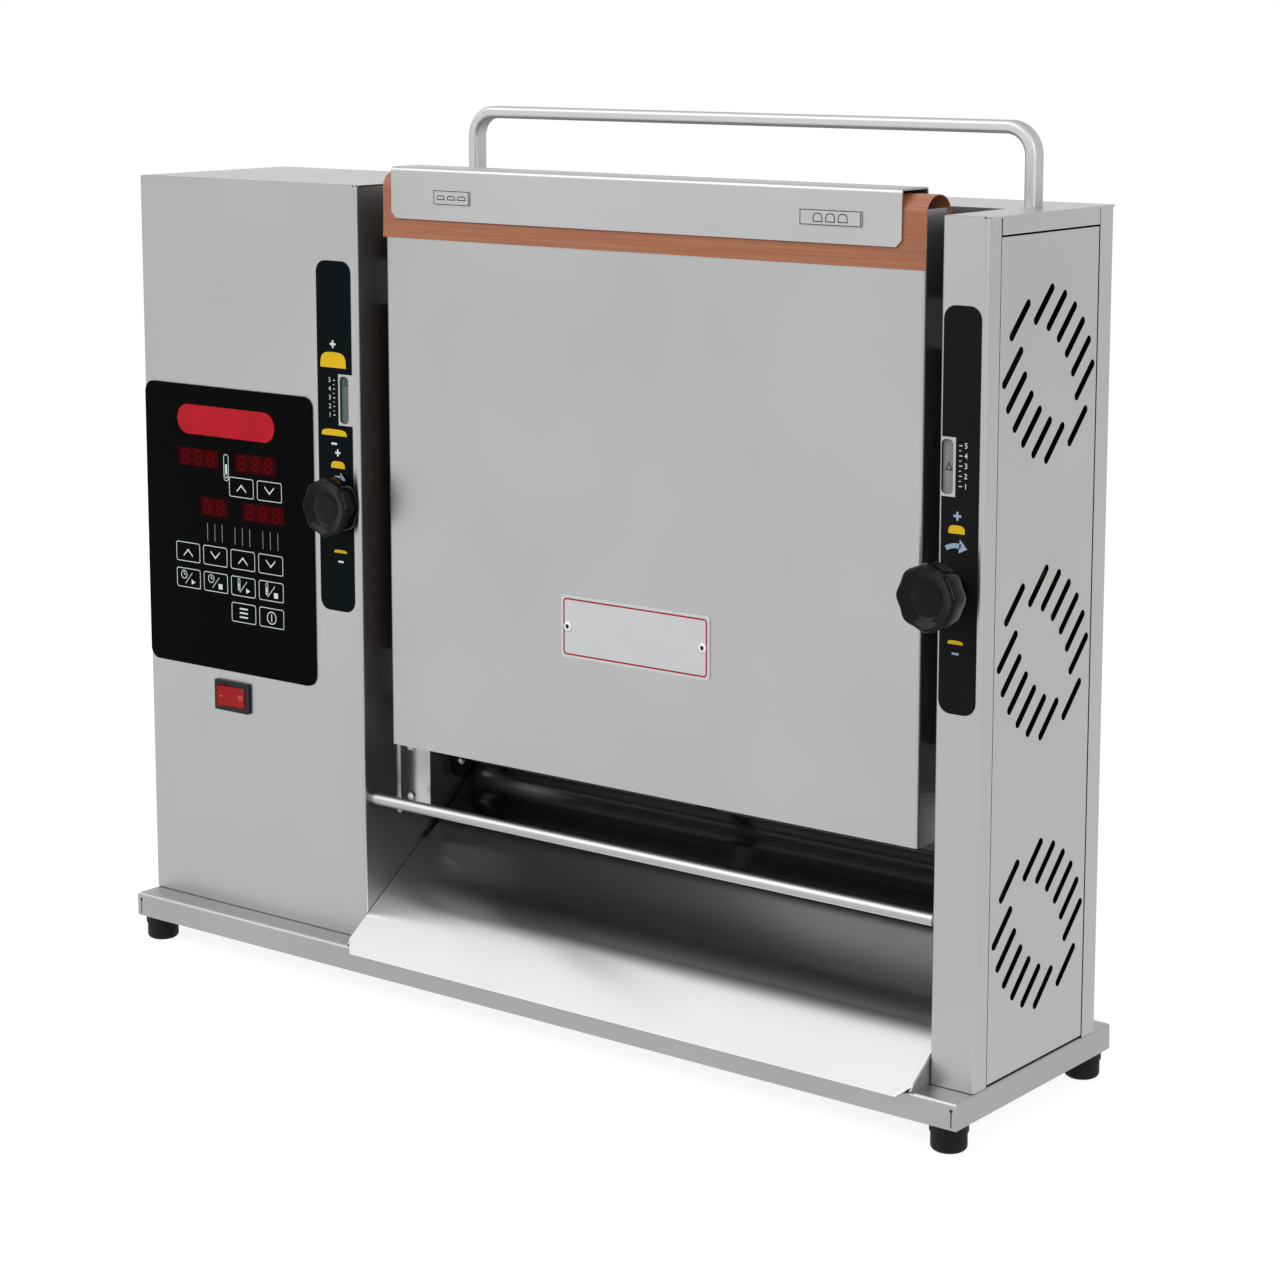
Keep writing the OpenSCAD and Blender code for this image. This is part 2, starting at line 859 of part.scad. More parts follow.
// Chute: a long slope from the lip, then a bend and a steep slope up behind the rollers
module chute() {
    t = sheet_t;
    a = chute_slope;
    b = chute_back_slope;
    lip = [-base_front - chute_lip, -chute_drop];
    back_y = tower_d - sheet_t - t;
    // The steep slope keeps clear of the belts, which sets where both slopes meet
    reach = belt_ro + rib_h + chute_clear;
    meet_y = (reach + shaft_y * sin(b) + (lip[1] - lip[0] * tan(a) - shaft_z) * cos(b)) / (sin(b) - tan(a) * cos(b));
    meet = [meet_y, lip[1] + (meet_y - lip[0]) * tan(a)];
    cut = chute_r * tan((b - a) / 2);
    low = meet - cut * polar(1, a);
    high = meet + cut * polar(1, b);
    centre = low + chute_r * polar(1, a + 90);
    top_z = meet[1] + (back_y - meet[0]) * tan(b);
    color("gainsboro")
        difference() {
            sweep_x([x_li + chute_gap, x_ri - chute_gap]) {
                polygon([lip, low, low - t * polar(1, a + 90), lip - t * polar(1, a + 90)]);
                difference() {
                    translate(centre)
                        circle(r = chute_r + t);
                    translate(centre)
                        circle(r = chute_r);
                    translate(centre)
                        rotate(a)
                            rect([-2 * chute_r, 0], [-2 * chute_r, 2 * chute_r]);
                    translate(centre)
                        rotate(b)
                            rect([0, 2 * chute_r], [-2 * chute_r, 2 * chute_r]);
                    translate(centre)
                        rotate((a + b) / 2)
                            rect([-2 * chute_r, 2 * chute_r], [0, 2 * chute_r]);
                }
                polygon([high, [back_y, top_z], [back_y + t, top_z], [back_y + t, top_z - t], high - t * polar(1, b + 90)]);
                rect([back_y, back_y + t], [top_z - eps, top_z + chute_flange]);
            }
            for (x = [x_li + chute_gap, x_ri - chute_gap])
                translate([x, y_front + lip[0], z_base])
                    rotate([0, 0, 45])
                        cube([chute_chamfer * sqrt(2), chute_chamfer * sqrt(2), 4 * chute_chamfer], center = true);
        }
}

module control_overlay() {
    color([0.05, 0.05, 0.06])
        sweep_y([-overlay_t, 0])
            difference() {
                translate([overlay_x, overlay_z])
                    round_rect(overlay_w, overlay_h, 8);
                for (d = DISPLAYS)
                    translate([x_l + d[0], d[1]])
                        square([d[2] + 2 * set_fit, display_h + 2 * set_fit], center = true);
                for (k = KEYS)
                    translate([key_x[k[0]], key_z[k[1]]])
                        square([key_w + 2 * slide_fit, key_h + 2 * slide_fit], center = true);
            }
}

module display_modules() {
    color([0.25, 0.02, 0.02])
        for (d = DISPLAYS)
            sweep_y([-overlay_t + 0.3, board_y])
                translate([x_l + d[0], d[1]])
                    square([d[2], display_h], center = true);
}

module control_board() {
    color("darkgreen") {
        sweep_y([board_y, board_y + 1.6])
            translate([overlay_x, overlay_z])
                square([overlay_w - 14, overlay_h - 20], center = true);
        for (x = [-1, 1], z = [-1, 1])
            bar_y(overlay_x + x * (overlay_w / 2 - 12), [sheet_t, board_y], overlay_z + z * (overlay_h / 2 - 16), 6);
        for (k = KEYS)
            sweep_y([board_y - 4, board_y])
                translate([key_x[k[0]], key_z[k[1]]])
                    square(6, center = true);
    }
}

module key(i) {
    k = KEYS[i - 1];
    t = 0.7;
    y0 = -overlay_t - 0.1;
    color([0.07, 0.07, 0.08]) {
        sweep_y([y0, y0 + t])
            translate([key_x[k[0]], key_z[k[1]]])
                round_rect(key_w, key_h, 2);
        bar_y(key_x[k[0]], [y0 + t - 0.1, board_y - 4 - key_travel - 0.1], key_z[k[1]], stem_d);
    }
}

module switch_body() {
    color([0.06, 0.06, 0.06])
        difference() {
            union() {
                sweep_y([-2, 0])
                    translate([switch_x, switch_z])
                        round_rect(switch_w, switch_h, 1.5);
                sweep_y([-1, 22])
                    translate([switch_x, switch_z])
                        square([switch_w - 5, switch_h - 2], center = true);
            }
            sweep_y([-3, 9])
                translate([switch_x, switch_z])
                    square([2 * rocker_half + 2.6, rocker_h + 2 * slide_fit], center = true);
            translate([switch_x, y_front + rocker_y, z_base + switch_z])
                cylinder(d = 3 + 2 * run_fit, h = rocker_h + 4, center = true);
        }
}

module switch_rocker() {
    color("firebrick")
        translate([switch_x, y_front + rocker_y, z_base + switch_z])
            rotate([0, 0, rocker_tilt]) {
                translate([0, 0, -rocker_h / 2])
                    linear_extrude(rocker_h)
                        polygon([
                            [-rocker_half, -5], [-rocker_half * 0.4, -4.1], [rocker_half * 0.4, -4.1],
                            [rocker_half, -5], [rocker_half, -1], [4, 5], [-4, 5], [-rocker_half, -1]
                        ]);
                cylinder(d = 3, h = rocker_h + 3, center = true);
            }
}

module gear_motor() {
    x1 = motor_plate_x;
    x2 = x1 - gearbox_l;
    x3 = x2 - motor_l;
    color("slategray")
        difference() {
            union() {
                block([x2, x1], [shaft_y - gearbox_w / 2, shaft_y + gearbox_w / 2],
                    [motor_z - gearbox_w / 2, motor_z + gearbox_w / 2]);
                bar_x([x3, x2 + eps], shaft_y, motor_z, motor_d);
                bar_x([x3 - motor_cap_l, x3 + eps], shaft_y, motor_z, motor_cap_d);
            }
            bar_x([x1 - motor_bore_l, x1 + 1], shaft_y, motor_z, motor_shaft_d + 2 * run_fit);
        }
}

module motor_bracket() {
    t = 3;
    x = motor_plate_x;
    y = [shaft_y - gearbox_w / 2 - 4, shaft_y + gearbox_w / 2 + 4];
    color("gray")
        difference() {
            union() {
                block([x, x + t], y, [0, motor_z + gearbox_w / 2 + 4]);
                block([x - gearbox_l, x + t], y, [0, t]);
            }
            bar_x([x - 1, x + t + 1], shaft_y, motor_z, motor_shaft_d + 6);
        }
}

module motor_pinion() {
    color("goldenrod") {
        sweep_x([gear_x0, gear_x0 + gear_w])
            translate([shaft_y, motor_z])
                rotate(-90)
                    rotate(180 / pinion_teeth)
                        gear_outline(gear_m, pinion_teeth, 0.2);
        bar_x([motor_plate_x - motor_bore_l + 1, gear_x0 + eps], shaft_y, motor_z, motor_shaft_d);
    }
}

module drive_gear() {
    color("goldenrod")
        sweep_x([gear_x0, gear_x0 + gear_w])
            translate([shaft_y, shaft_z])
                difference() {
                    rotate(90)
                        gear_outline(gear_m, gear_teeth, 0.2);
                    circle(d = shaft_d + 2 * run_fit / 5);
                    for (a = [0:60:300])
                        rotate(a)
                            translate([gear_m * gear_teeth / 2 * 0.56, 0])
                                circle(d = 9);
                }
}

module drive_shaft() {
    color("silver")
        bar_x([gear_x0 - 3, x_ri + sheet_t + 6], shaft_y, shaft_z, shaft_d);
}

// Where the belt and rollers run, between the side plates
function run_x(x) = [x[0] + plate_t + side_gap, x[1] - plate_t - side_gap];

module drive_rollers() {
    color([0.1, 0.1, 0.1])
        for (x = [heel_x, crown_x])
            sweep_x(run_x(x))
                translate([shaft_y, shaft_z])
                    difference() {
                        circle(r = roller_r);
                        circle(d = shaft_d + 2 * run_fit / 5);
                    }
}

// Flanged bearings on the inner walls, held by a screw in each lobe
module shaft_bearings() {
    color([0.12, 0.12, 0.12])
        for (side = [[x_li, 1], [x_ri, -1]])
            translate([side[0], 0, 0])
                mirror([side[1] < 0 ? 1 : 0, 0, 0])
                    difference() {
                        union() {
                            bar_x([-6, eps], shaft_y, shaft_z, shaft_d + 8 - 2 * set_fit);
                            sweep_x([0, flange_t])
                                translate([shaft_y, shaft_z]) {
                                    circle(d = flange_d);
                                    rotate(90)
                                        slot(2 * lobe_z + lobe_d, lobe_d);
                                }
                        }
                        bar_x([-10, flange_t + 1], shaft_y, shaft_z, shaft_d + 2 * run_fit);
                        for (s = [-1, 1])
                            bar_x([flange_t - 5, flange_t + 1], shaft_y, shaft_z + s * lobe_z, screw_hole);
                    }
}

// Side view of a stretched loop of radius r round both roller axes
module loop_outline(r) {
    for (z = [shaft_z, idler_z])
        translate([shaft_y, z])
            circle(r = r);
    rect([shaft_y - r, shaft_y + r], [shaft_z, idler_z]);
}

// Conveyor frame: two side plates and two cross bars
module conveyor_frame(x, outer_first) {
    plates = [[x[0], x[0] + plate_t], [x[1] - plate_t, x[1]]];
    for (i = [0, 1])
        sweep_x(plates[i])
            difference() {
                loop_outline(plate_r);
                translate([shaft_y, shaft_z])
                    circle(d = shaft_d + 2 * run_fit);
                translate([shaft_y, idler_z])
                    circle(d = idler_pin_d + 2 * run_fit);
                if ((i == 0) == outer_first)
                    translate([nut_y, knob_z])
                        rotate(90)
                            slot(pin_d + 6, pin_d + 2 * slide_fit);
            }
    for (z = [shaft_z + cross_low, idler_z - cross_high])
        bar_x([x[0] + plate_t - eps, x[1] - plate_t + eps], shaft_y, z, cross_d);
}

module conveyor_belt(x) {
    count = floor(roller_span / rib_pitch);
    rib_z0 = (shaft_z + idler_z - (count - 1) * rib_pitch) / 2;
    end_ribs = 4;
    sweep_x(run_x(x))
        difference() {
            union() {
                loop_outline(belt_ro);
                for (i = [0:count - 1], s = [-1, 1])
                    translate([shaft_y + s * belt_ro, rib_z0 + i * rib_pitch])
                        square([2 * rib_h, rib_w], center = true);
                for (i = [0:end_ribs - 1], e = [[idler_z, 0], [shaft_z, 180]])
                    translate([shaft_y, e[0]])
                        rotate(e[1] + (i + 0.5) * 180 / end_ribs)
                            translate([belt_ro, 0])
                                square([2 * rib_h, rib_w], center = true);
            }
            loop_outline(belt_ri);
        }
}

module conveyor_idler(x) {
    bar_x(run_x(x), shaft_y, idler_z, 2 * roller_r);
    bar_x(x, shaft_y, idler_z, idler_pin_d);
}

module heel_frame() {
    color("gray")
        conveyor_frame(heel_x, true);
}

module heel_belt() {
    color([0.09, 0.09, 0.09])
        conveyor_belt(heel_x);
}

module heel_idler() {
    color("dimgray")
        conveyor_idler(heel_x);
}

module crown_frame() {
    color("gray")
        conveyor_frame(crown_x, false);
}

module crown_belt() {
    color([0.09, 0.09, 0.09])
        conveyor_belt(crown_x);
}

module crown_idler() {
    color("dimgray")
        conveyor_idler(crown_x);
}

// Lobed knob on its hub, standing off the panel; drawn towards the front
module lobed_knob(x, standoff) {
    lobes = 8;
    scallop = 4.5;
    face_d = knob_d * 0.62;
    color([0.06, 0.06, 0.06])
        translate([x, y_front, z_base + knob_z])
            rotate([90, 0, 0])
                difference() {
                    union() {
                        translate([0, 0, standoff])
                            intersection() {
                                linear_extrude(knob_h)
                                    difference() {
                                        circle(d = knob_d);
                                        for (i = [0:lobes - 1])
                                            rotate((i + 0.5) * 360 / lobes)
                                                translate([knob_d / 2 + scallop * 0.5, 0])
                                                    circle(r = scallop);
                                    }
                                rotate_extrude()
                                    polygon([
                                        [0, 0], [knob_d / 2 - 2.5, 0], [knob_d / 2, 2.5], [knob_d / 2, knob_h - 5],
                                        [knob_d / 2 - 1.4, knob_h - 2], [knob_d / 2 - 4.5, knob_h], [0, knob_h]
                                    ]);
                            }
                        translate([0, 0, 1])
                            cylinder(d = screw_d + 9, h = standoff);
                    }
                    translate([0, 0, standoff + knob_h - 2.4])
                        cylinder(d = face_d, h = 3);
                    for (i = [0:lobes - 1])
                        rotate(i * 360 / lobes)
                            translate([face_d / 2 - 3.6, 0, standoff + knob_h - 3.6])
                                cylinder(d = 3.2, h = 3);
                    translate([0, 0, -1])
                        cylinder(d = screw_d + 2 * run_fit / 5, h = standoff + knob_h - 4);
                }
}

// Adjuster screw with the pointer's pinion on it
module adjuster_screw(x, standoff) {
    color("silver") {
        bar_y(x, [-standoff - knob_h + 5.2, web_y + bracket_t + 2], knob_z, screw_d);
        sweep_y([rack_y0, rack_y0 + rack_t])
            translate([x, knob_z])
                gear_outline(rack_m, rack_teeth, 0.1);
    }
}

// Nut on the screw, with the pin that reaches a conveyor's side plate
module adjuster_nut(x, pin_x) {
    color("goldenrod")
        difference() {
            union() {
                block([x - nut_half, x + nut_half], [nut_y - nut_l / 2, nut_y + nut_l / 2],
                    [knob_z - 10, knob_z + 10]);
                bar_x([min(x + sign(pin_x - x) * (nut_half - 1), pin_x), max(x + sign(pin_x - x) * (nut_half - 1), pin_x)],
                    nut_y, knob_z, pin_d);
            }
            bar_y(x, [0, tower_d], knob_z, screw_d + 2 * run_fit);
        }
}

// Pointer plate that fills its window over the whole travel, with its rack; rest is the plate's height
// above the lower end of that travel
module adjuster_indicator(x, side, window_x, rest) {
    plate_z = [window_z - window_h / 2 - (rack_travel - rest) - 1, window_z + window_h / 2 + rest + 1];
    bar = x + side * (rack_pitch_r + 2);
    color("darkseagreen") {
        translate([x + side * rack_pitch_r, 0, 0])
            mirror([side < 0 ? 1 : 0, 0, 0])
                sweep_y([rack_y0, rack_y0 + rack_t])
                    translate([0, knob_z])
                        rack_outline([-14 - (rack_travel - rest), guide_high + guide_h + rest + 3], rack_back,
                            [-5 - (rack_travel - rest), 5 + rest]);
        block([min(window_x - window_w / 2, bar), max(window_x + window_w / 2, bar)], [rack_y0 - 0.4, rack_y0 + 1], plate_z);
    }
}

// Bracket on a tower's inner wall: end bearing of the screw and two guides for the pointer bar
module adjuster_bracket(wall, side, x) {
    inner = wall - side * sheet_t;
    far = x - side * (screw_d / 2 + 5);
    bar0 = x + side * (rack_pitch_r - rack_m);
    plate = [min(inner - side * bracket_t, inner), max(inner - side * bracket_t, inner)];
    web = [min(far, inner), max(far, inner)];
    guide_end = inner - side * (bend_r - sheet_t + set_fit);
    guide = [min(bar0 - side * 2, guide_end), max(bar0 - side * 2, guide_end)];
    guide_y = rack_y0 + rack_t + 3;
    color("gray")
        difference() {
            union() {
                block(plate, [guide_y - 1.5, web_y + bracket_t], [knob_z - 12, knob_z + 20]);
                block(plate, [guide_y - 1.5, guide_y + 8], [knob_z - 12, knob_z + guide_high + guide_h]);
                block(web, [web_y, web_y + bracket_t], [knob_z - 12, knob_z + 12]);
                for (z = [guide_low, guide_high])
                    block(guide, [sheet_t, guide_y], [knob_z + z, knob_z + z + guide_h]);
            }
            sweep_x([plate[0] - 1, plate[1] + 1])
                translate([nut_y, knob_z])
                    slot(2 * nut_travel + pin_d + 4 * slide_fit, pin_d + 2 * slide_fit);
            bar_y(x, [web_y - 1, web_y + bracket_t + 1], knob_z, screw_d + 2 * run_fit);
            for (z = [guide_low, guide_high])
                block([min(bar0 - side * slide_fit, x + side * (rack_pitch_r + rack_back + slide_fit)),
                        max(bar0 - side * slide_fit, x + side * (rack_pitch_r + rack_back + slide_fit))],
                    [rack_y0 - slide_fit, rack_y0 + rack_t + slide_fit], [knob_z + z - 1, knob_z + z + guide_h + 1]);
        }
}

module adjuster_brackets() {
    adjuster_bracket(x_li, 1, knob_x_l);
    adjuster_bracket(x_ri, -1, knob_x_r);
}

module left_knob() {
    lobed_knob(knob_x_l, standoff_l);
}

module left_screw() {
    adjuster_screw(knob_x_l, standoff_l);
}

module left_nut() {
    adjuster_nut(knob_x_l, heel_x[0] + plate_t - 0.2);
}

module left_indicator() {
    adjuster_indicator(knob_x_l, 1, window_x_l, rack_travel);
}

module right_knob() {
    lobed_knob(knob_x_r, standoff_r);
}

module right_screw() {
    adjuster_screw(knob_x_r, standoff_r);
}

module right_nut() {
    adjuster_nut(knob_x_r, crown_x[1] - plate_t + 0.2);
}

module right_indicator() {
    adjuster_indicator(knob_x_r, -1, window_x_r, rack_travel / 2);
}

module cable_gland() {
    color([0.1, 0.1, 0.1])
        difference() {
            union() {
                bar_y(gland_x, [tower_d - 8, tower_d + 1], gland_z, gland_d);
                for (y = [[tower_d - sheet_t - 4, tower_d - sheet_t], [tower_d, tower_d + 6]])
                    translate([gland_x, y_front + y[0], z_base + gland_z])
                        rotate([-90, 0, 0])
                            cylinder(d = gland_d + 8, h = y[1] - y[0], $fn = 6);
                translate([gland_x, y_front + tower_d + 6 - eps, z_base + gland_z])
                    rotate([-90, 0, 0])
                        cylinder(d1 = gland_d + 4, d2 = gland_d - 2, h = 8);
            }
            bar_y(gland_x, [tower_d - 9, tower_d + 20], gland_z, 8);
        }
}

// Pan-head screw along +z, its head's underside at the origin
module pan_screw() {
    translate([0, 0, -4])
        cylinder(d = screw_hole - 2 * set_fit, h = 4 + eps);
    rotate_extrude() {
        rect([0, 3.4], [0, 1.2]);
        intersection() {
            translate([0, -2.6])
                circle(r = 5);
            rect([0, 3.4], [1.2 - eps, 3]);
        }
    }
}

// Pan-head screw with its head towards the outlet: side is 1 on the left wall and -1 on the right one
module wall_screw(x, side, y, z) {
    translate([x, y_front + y, z_base + z])
        rotate([0, side * 90, 0])
            pan_screw();
}

module screws() {
    color("silver") {
        for (side = [[x_li, 1], [x_ri, -1]]) {
            for (z = guide_screw_z)
                wall_screw(side[0] + side[1] * guide_t, side[1], guide_screw_y, z);
            for (s = [-1, 1])
                wall_screw(side[0] + side[1] * flange_t, side[1], shaft_y, shaft_z + s * lobe_z);
        }
        for (s = rear_screws)
            translate([s[0], y_front + tower_d, z_base + s[1]])
                rotate([-90, 0, 0])
                    pan_screw();
    }
}

base_pan();
feet();
left_tower_front();
left_tower_cover();
right_tower_front();
vented_side_panel();
rear_cover();
top_cover();
handle_bar();
platen_cover();
insulation_board();
heating_elements();
platen();
platen_brackets();
release_sheet();
sheet_clip();
side_guides();
guard_rod();
chute();
control_overlay();
display_modules();
control_board();
switch_body();
switch_rocker();
for (i = [1:12])
    key(i);
gear_motor();
motor_bracket();
motor_pinion();
drive_gear();
drive_shaft();
drive_rollers();
shaft_bearings();
heel_frame();
heel_belt();
heel_idler();
crown_frame();
crown_belt();
crown_idler();
left_knob();
left_screw();
left_nut();
left_indicator();
right_knob();
right_screw();
right_nut();
right_indicator();
adjuster_brackets();
cable_gland();
screws();
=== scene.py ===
"""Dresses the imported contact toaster: materials, legends, plates, vented panels, knobs and release sheet.
The studio and the camera come last."""
import math
from functools import partial

import bmesh
import bpy
from mathutils import Matrix, Vector

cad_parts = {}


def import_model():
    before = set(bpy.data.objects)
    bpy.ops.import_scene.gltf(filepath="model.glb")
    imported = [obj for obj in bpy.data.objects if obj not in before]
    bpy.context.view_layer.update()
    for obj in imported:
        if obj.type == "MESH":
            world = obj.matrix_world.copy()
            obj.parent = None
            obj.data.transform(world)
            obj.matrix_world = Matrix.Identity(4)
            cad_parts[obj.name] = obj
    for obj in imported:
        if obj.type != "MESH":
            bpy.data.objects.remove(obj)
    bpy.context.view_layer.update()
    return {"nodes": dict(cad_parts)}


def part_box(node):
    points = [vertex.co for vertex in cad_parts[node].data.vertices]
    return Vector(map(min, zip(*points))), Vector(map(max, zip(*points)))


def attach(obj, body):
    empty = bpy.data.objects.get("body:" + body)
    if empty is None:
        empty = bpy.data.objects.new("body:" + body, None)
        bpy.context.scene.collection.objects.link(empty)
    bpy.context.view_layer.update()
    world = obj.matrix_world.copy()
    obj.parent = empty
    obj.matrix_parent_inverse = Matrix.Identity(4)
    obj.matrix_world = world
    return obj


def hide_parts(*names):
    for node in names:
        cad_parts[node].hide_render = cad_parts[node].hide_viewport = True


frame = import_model()

MM = 0.001

# Corners that the legends are measured from: the housing's left edge, the towers' front, the base's top
LEFT, FRONT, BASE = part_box("left_tower_front")[0]


def at(x, z):
    """A place on the front, given in millimetres from the housing's left edge and the base's top."""
    return LEFT + x * MM, BASE + z * MM


# Materials

# Painted shade: the first tone on the right tower and its vented panel, the second on other faces inside the
# housing and under the platen cover, the third on the chute deeper in. The last is the cloth's own toasted
# colour.
DEEP_PAINTED_SHADE = (0.025, 0.025, 0.025)
PAINTED_SHADE = (0.10, 0.098, 0.095)
CHUTE_PAINTED_SHADE = (0.31, 0.308, 0.305)
TOASTED_CLOTH = (0.075, 0.045, 0.035)
# Noise is about 0.5 and stays mostly within this range
NOISE_LOW, NOISE_HIGH = 0.3, 0.7
# Brushed sheet: cells per metre across the grain, their stretch along it, and cells per metre of clouds
BRUSH_CELLS, BRUSH_STRETCH, CLOUD_CELLS = 2600, 0.006, 9


def blank_material(name):
    """A node material with only a Principled shader; returns the material, its tree and the shader."""
    mat = bpy.data.materials.new(name)
    mat.use_nodes = True
    tree = mat.node_tree
    tree.nodes.clear()
    shader = tree.nodes.new("ShaderNodeBsdfPrincipled")
    out = tree.nodes.new("ShaderNodeOutputMaterial")
    tree.links.new(shader.outputs[0], out.inputs[0])
    return mat, tree, shader


def noise(tree, scale, stretch=(1, 1, 1), detail=3.0):
    """Noise in object space, in cells per metre along each axis."""
    coords = tree.nodes.new("ShaderNodeTexCoord")
    mapping = tree.nodes.new("ShaderNodeMapping")
    mapping.inputs["Scale"].default_value = stretch
    node = tree.nodes.new("ShaderNodeTexNoise")
    node.inputs["Scale"].default_value = scale
    node.inputs["Detail"].default_value = detail
    tree.links.new(coords.outputs["Object"], mapping.inputs["Vector"])
    tree.links.new(mapping.outputs[0], node.inputs["Vector"])
    return node.outputs["Fac"]


def spread(tree, value, low, high):
    """Maps noise to the range from low to high."""
    node = tree.nodes.new("ShaderNodeMapRange")
    node.inputs["From Min"].default_value = NOISE_LOW
    node.inputs["From Max"].default_value = NOISE_HIGH
    node.inputs["To Min"].default_value = low
    node.inputs["To Max"].default_value = high
    tree.links.new(value, node.inputs["Value"])
    return node.outputs["Result"]


def tint(tree, value, dark, light):
    """Colour between dark and light, by noise."""
    ramp = tree.nodes.new("ShaderNodeValToRGB")
    ramp.color_ramp.elements[0].position = NOISE_LOW
    ramp.color_ramp.elements[1].position = NOISE_HIGH
    ramp.color_ramp.elements[0].color = (*dark, 1)
    ramp.color_ramp.elements[1].color = (*light, 1)
    tree.links.new(value, ramp.inputs["Fac"])
    return ramp.outputs["Color"]


def bump(tree, shader, value, strength, distance):
    """Fine relief from a value."""
    node = tree.nodes.new("ShaderNodeBump")
    node.inputs["Strength"].default_value = strength
    node.inputs["Distance"].default_value = distance
    tree.links.new(value, node.inputs["Height"])
    tree.links.new(node.outputs[0], shader.inputs["Normal"])


def grey(level):
    return level, level, level


def scaled(color, factor):
    return tuple(c * factor for c in color)


def coordinate(tree, kind, axis):
    """One coordinate (0, 1 or 2) of the place (Object) or the normal (Normal) in object space."""
    coords = tree.nodes.new("ShaderNodeTexCoord")
    parts = tree.nodes.new("ShaderNodeSeparateXYZ")
    tree.links.new(coords.outputs[kind], parts.inputs[0])
    return parts.outputs[axis]


def ramped(tree, value, start, end, kind="LINEAR"):
    """Goes from 0, where the value is start, to 1, where it is end."""
    node = tree.nodes.new("ShaderNodeMapRange")
    node.interpolation_type = kind
    node.inputs["From Min"].default_value = start
    node.inputs["From Max"].default_value = end
    tree.links.new(value, node.inputs["Value"])
    return node.outputs["Result"]


def covered(tree, color, dark_tone, share):
    """The colour with a darker tone over it, by the tone's share: a stain on the cloth, painted shade on the
    steel.
    """
    mix = tree.nodes.new("ShaderNodeMix")
    mix.data_type = "RGBA"
    mix.inputs["B"].default_value = (*dark_tone, 1)
    tree.links.new(share, mix.inputs["Factor"])
    tree.links.new(color, mix.inputs["A"])
    return mix.outputs["Result"]


def stained_or_shaded(tree, color, dark_tone, axis, onset, dark, end=None):
    """The colour, darkened on faces by their normal along an axis (0, 1 or 2): the cloth's toasted side, and
    painted shade on faces inside the housing. The darker tone grows from the first given normal to the
    second, and nothing past the place end on that axis is darkened."""
    share = ramped(tree, coordinate(tree, "Normal", axis), onset, dark)
    if end is not None:
        before = tree.nodes.new("ShaderNodeMath")
        before.operation = "LESS_THAN"
        before.inputs[1].default_value = end
        both = tree.nodes.new("ShaderNodeMath")
        both.operation = "MULTIPLY"
        tree.links.new(coordinate(tree, "Object", axis), before.inputs[0])
        tree.links.new(before.outputs[0], both.inputs[0])
        tree.links.new(share, both.inputs[1])
        share = both.outputs[0]
    return covered(tree, color, dark_tone, share)


def shaded_deeper(tree, color, dark_tone, start, end):
    """The colour, which turns to a painted shade between two depths in metres."""
    return covered(tree, color, dark_tone, ramped(tree, coordinate(tree, "Object", 1), start, end, "SMOOTHSTEP"))


def brushed_metal(name, color, rough, grain, inside=None, dark_tone=PAINTED_SHADE, depths=None, smear=None, edge=1.0):
    """Sheet metal brushed along one axis: grain is 0, 1 or 2 for X, Y or Z. Painted shade darkens the faces
    inside, given by their normal's axis, the normals where it starts and is full and an optional end place,
    and what lies deeper than depths, where the painted shade starts and is full.
    Reflections are drawn out along smear, and edge dims those at a flat angle."""
    mat, tree, shader = blank_material(name)
    stretch = [1.0, 1.0, 1.0]
    stretch[grain] = BRUSH_STRETCH
    fine = noise(tree, BRUSH_CELLS, stretch, 4.0)
    cloud = noise(tree, CLOUD_CELLS, detail=1.0)
    shader.inputs["Metallic"].default_value = 1.0
    shader.inputs["Specular Tint"].default_value = (edge, edge, edge, 1)
    shade = tint(tree, cloud, scaled(color, 0.97), scaled(color, 1.03))
    # Painted shade on faces inside the housing, and on the chute deeper in
    if inside:
        shade = stained_or_shaded(tree, shade, dark_tone, *inside)
    if depths:
        shade = shaded_deeper(tree, shade, dark_tone, *depths)
    if smear:
        across = tree.nodes.new("ShaderNodeCombineXYZ")
        for socket, value in zip(across.inputs, smear):
            socket.default_value = value
        tree.links.new(across.outputs[0], shader.inputs["Tangent"])
        shader.inputs["Anisotropic"].default_value = 0.8
    tree.links.new(shade, shader.inputs["Base Color"])
    tree.links.new(spread(tree, fine, rough - 0.03, rough + 0.03), shader.inputs["Roughness"])
    bump(tree, shader, fine, 0.05, 0.0001)
    return mat


def plain_metal(name, color, rough):
    """Machined or plated metal with faint mottling."""
    mat, tree, shader = blank_material(name)
    mottle = noise(tree, 320, detail=5.0)
    shader.inputs["Metallic"].default_value = 1.0
    tree.links.new(tint(tree, mottle, scaled(color, 0.9), scaled(color, 1.06)), shader.inputs["Base Color"])
    tree.links.new(spread(tree, mottle, rough - 0.05, rough + 0.06), shader.inputs["Roughness"])
    bump(tree, shader, mottle, 0.06, 0.0003)
    return mat


def plastic(name, color, rough, relief=0.05, grain=1800, gloss=0.5, mottle=0.08):
    """Moulded plastic, rubber or print with a fine grain; gloss is the shader's specular level."""
    mat, tree, shader = blank_material(name)
    fine = noise(tree, grain, detail=2.0)
    broad = noise(tree, 60, detail=2.0)
    dark, light = scaled(color, 1 - mottle), scaled(color, 1 + mottle)
    tree.links.new(tint(tree, broad, dark, light), shader.inputs["Base Color"])
    tree.links.new(spread(tree, fine, rough - 0.04, rough + 0.05), shader.inputs["Roughness"])
    shader.inputs["Specular IOR Level"].default_value = gloss
    bump(tree, shader, fine, relief, 0.0002)
    return mat


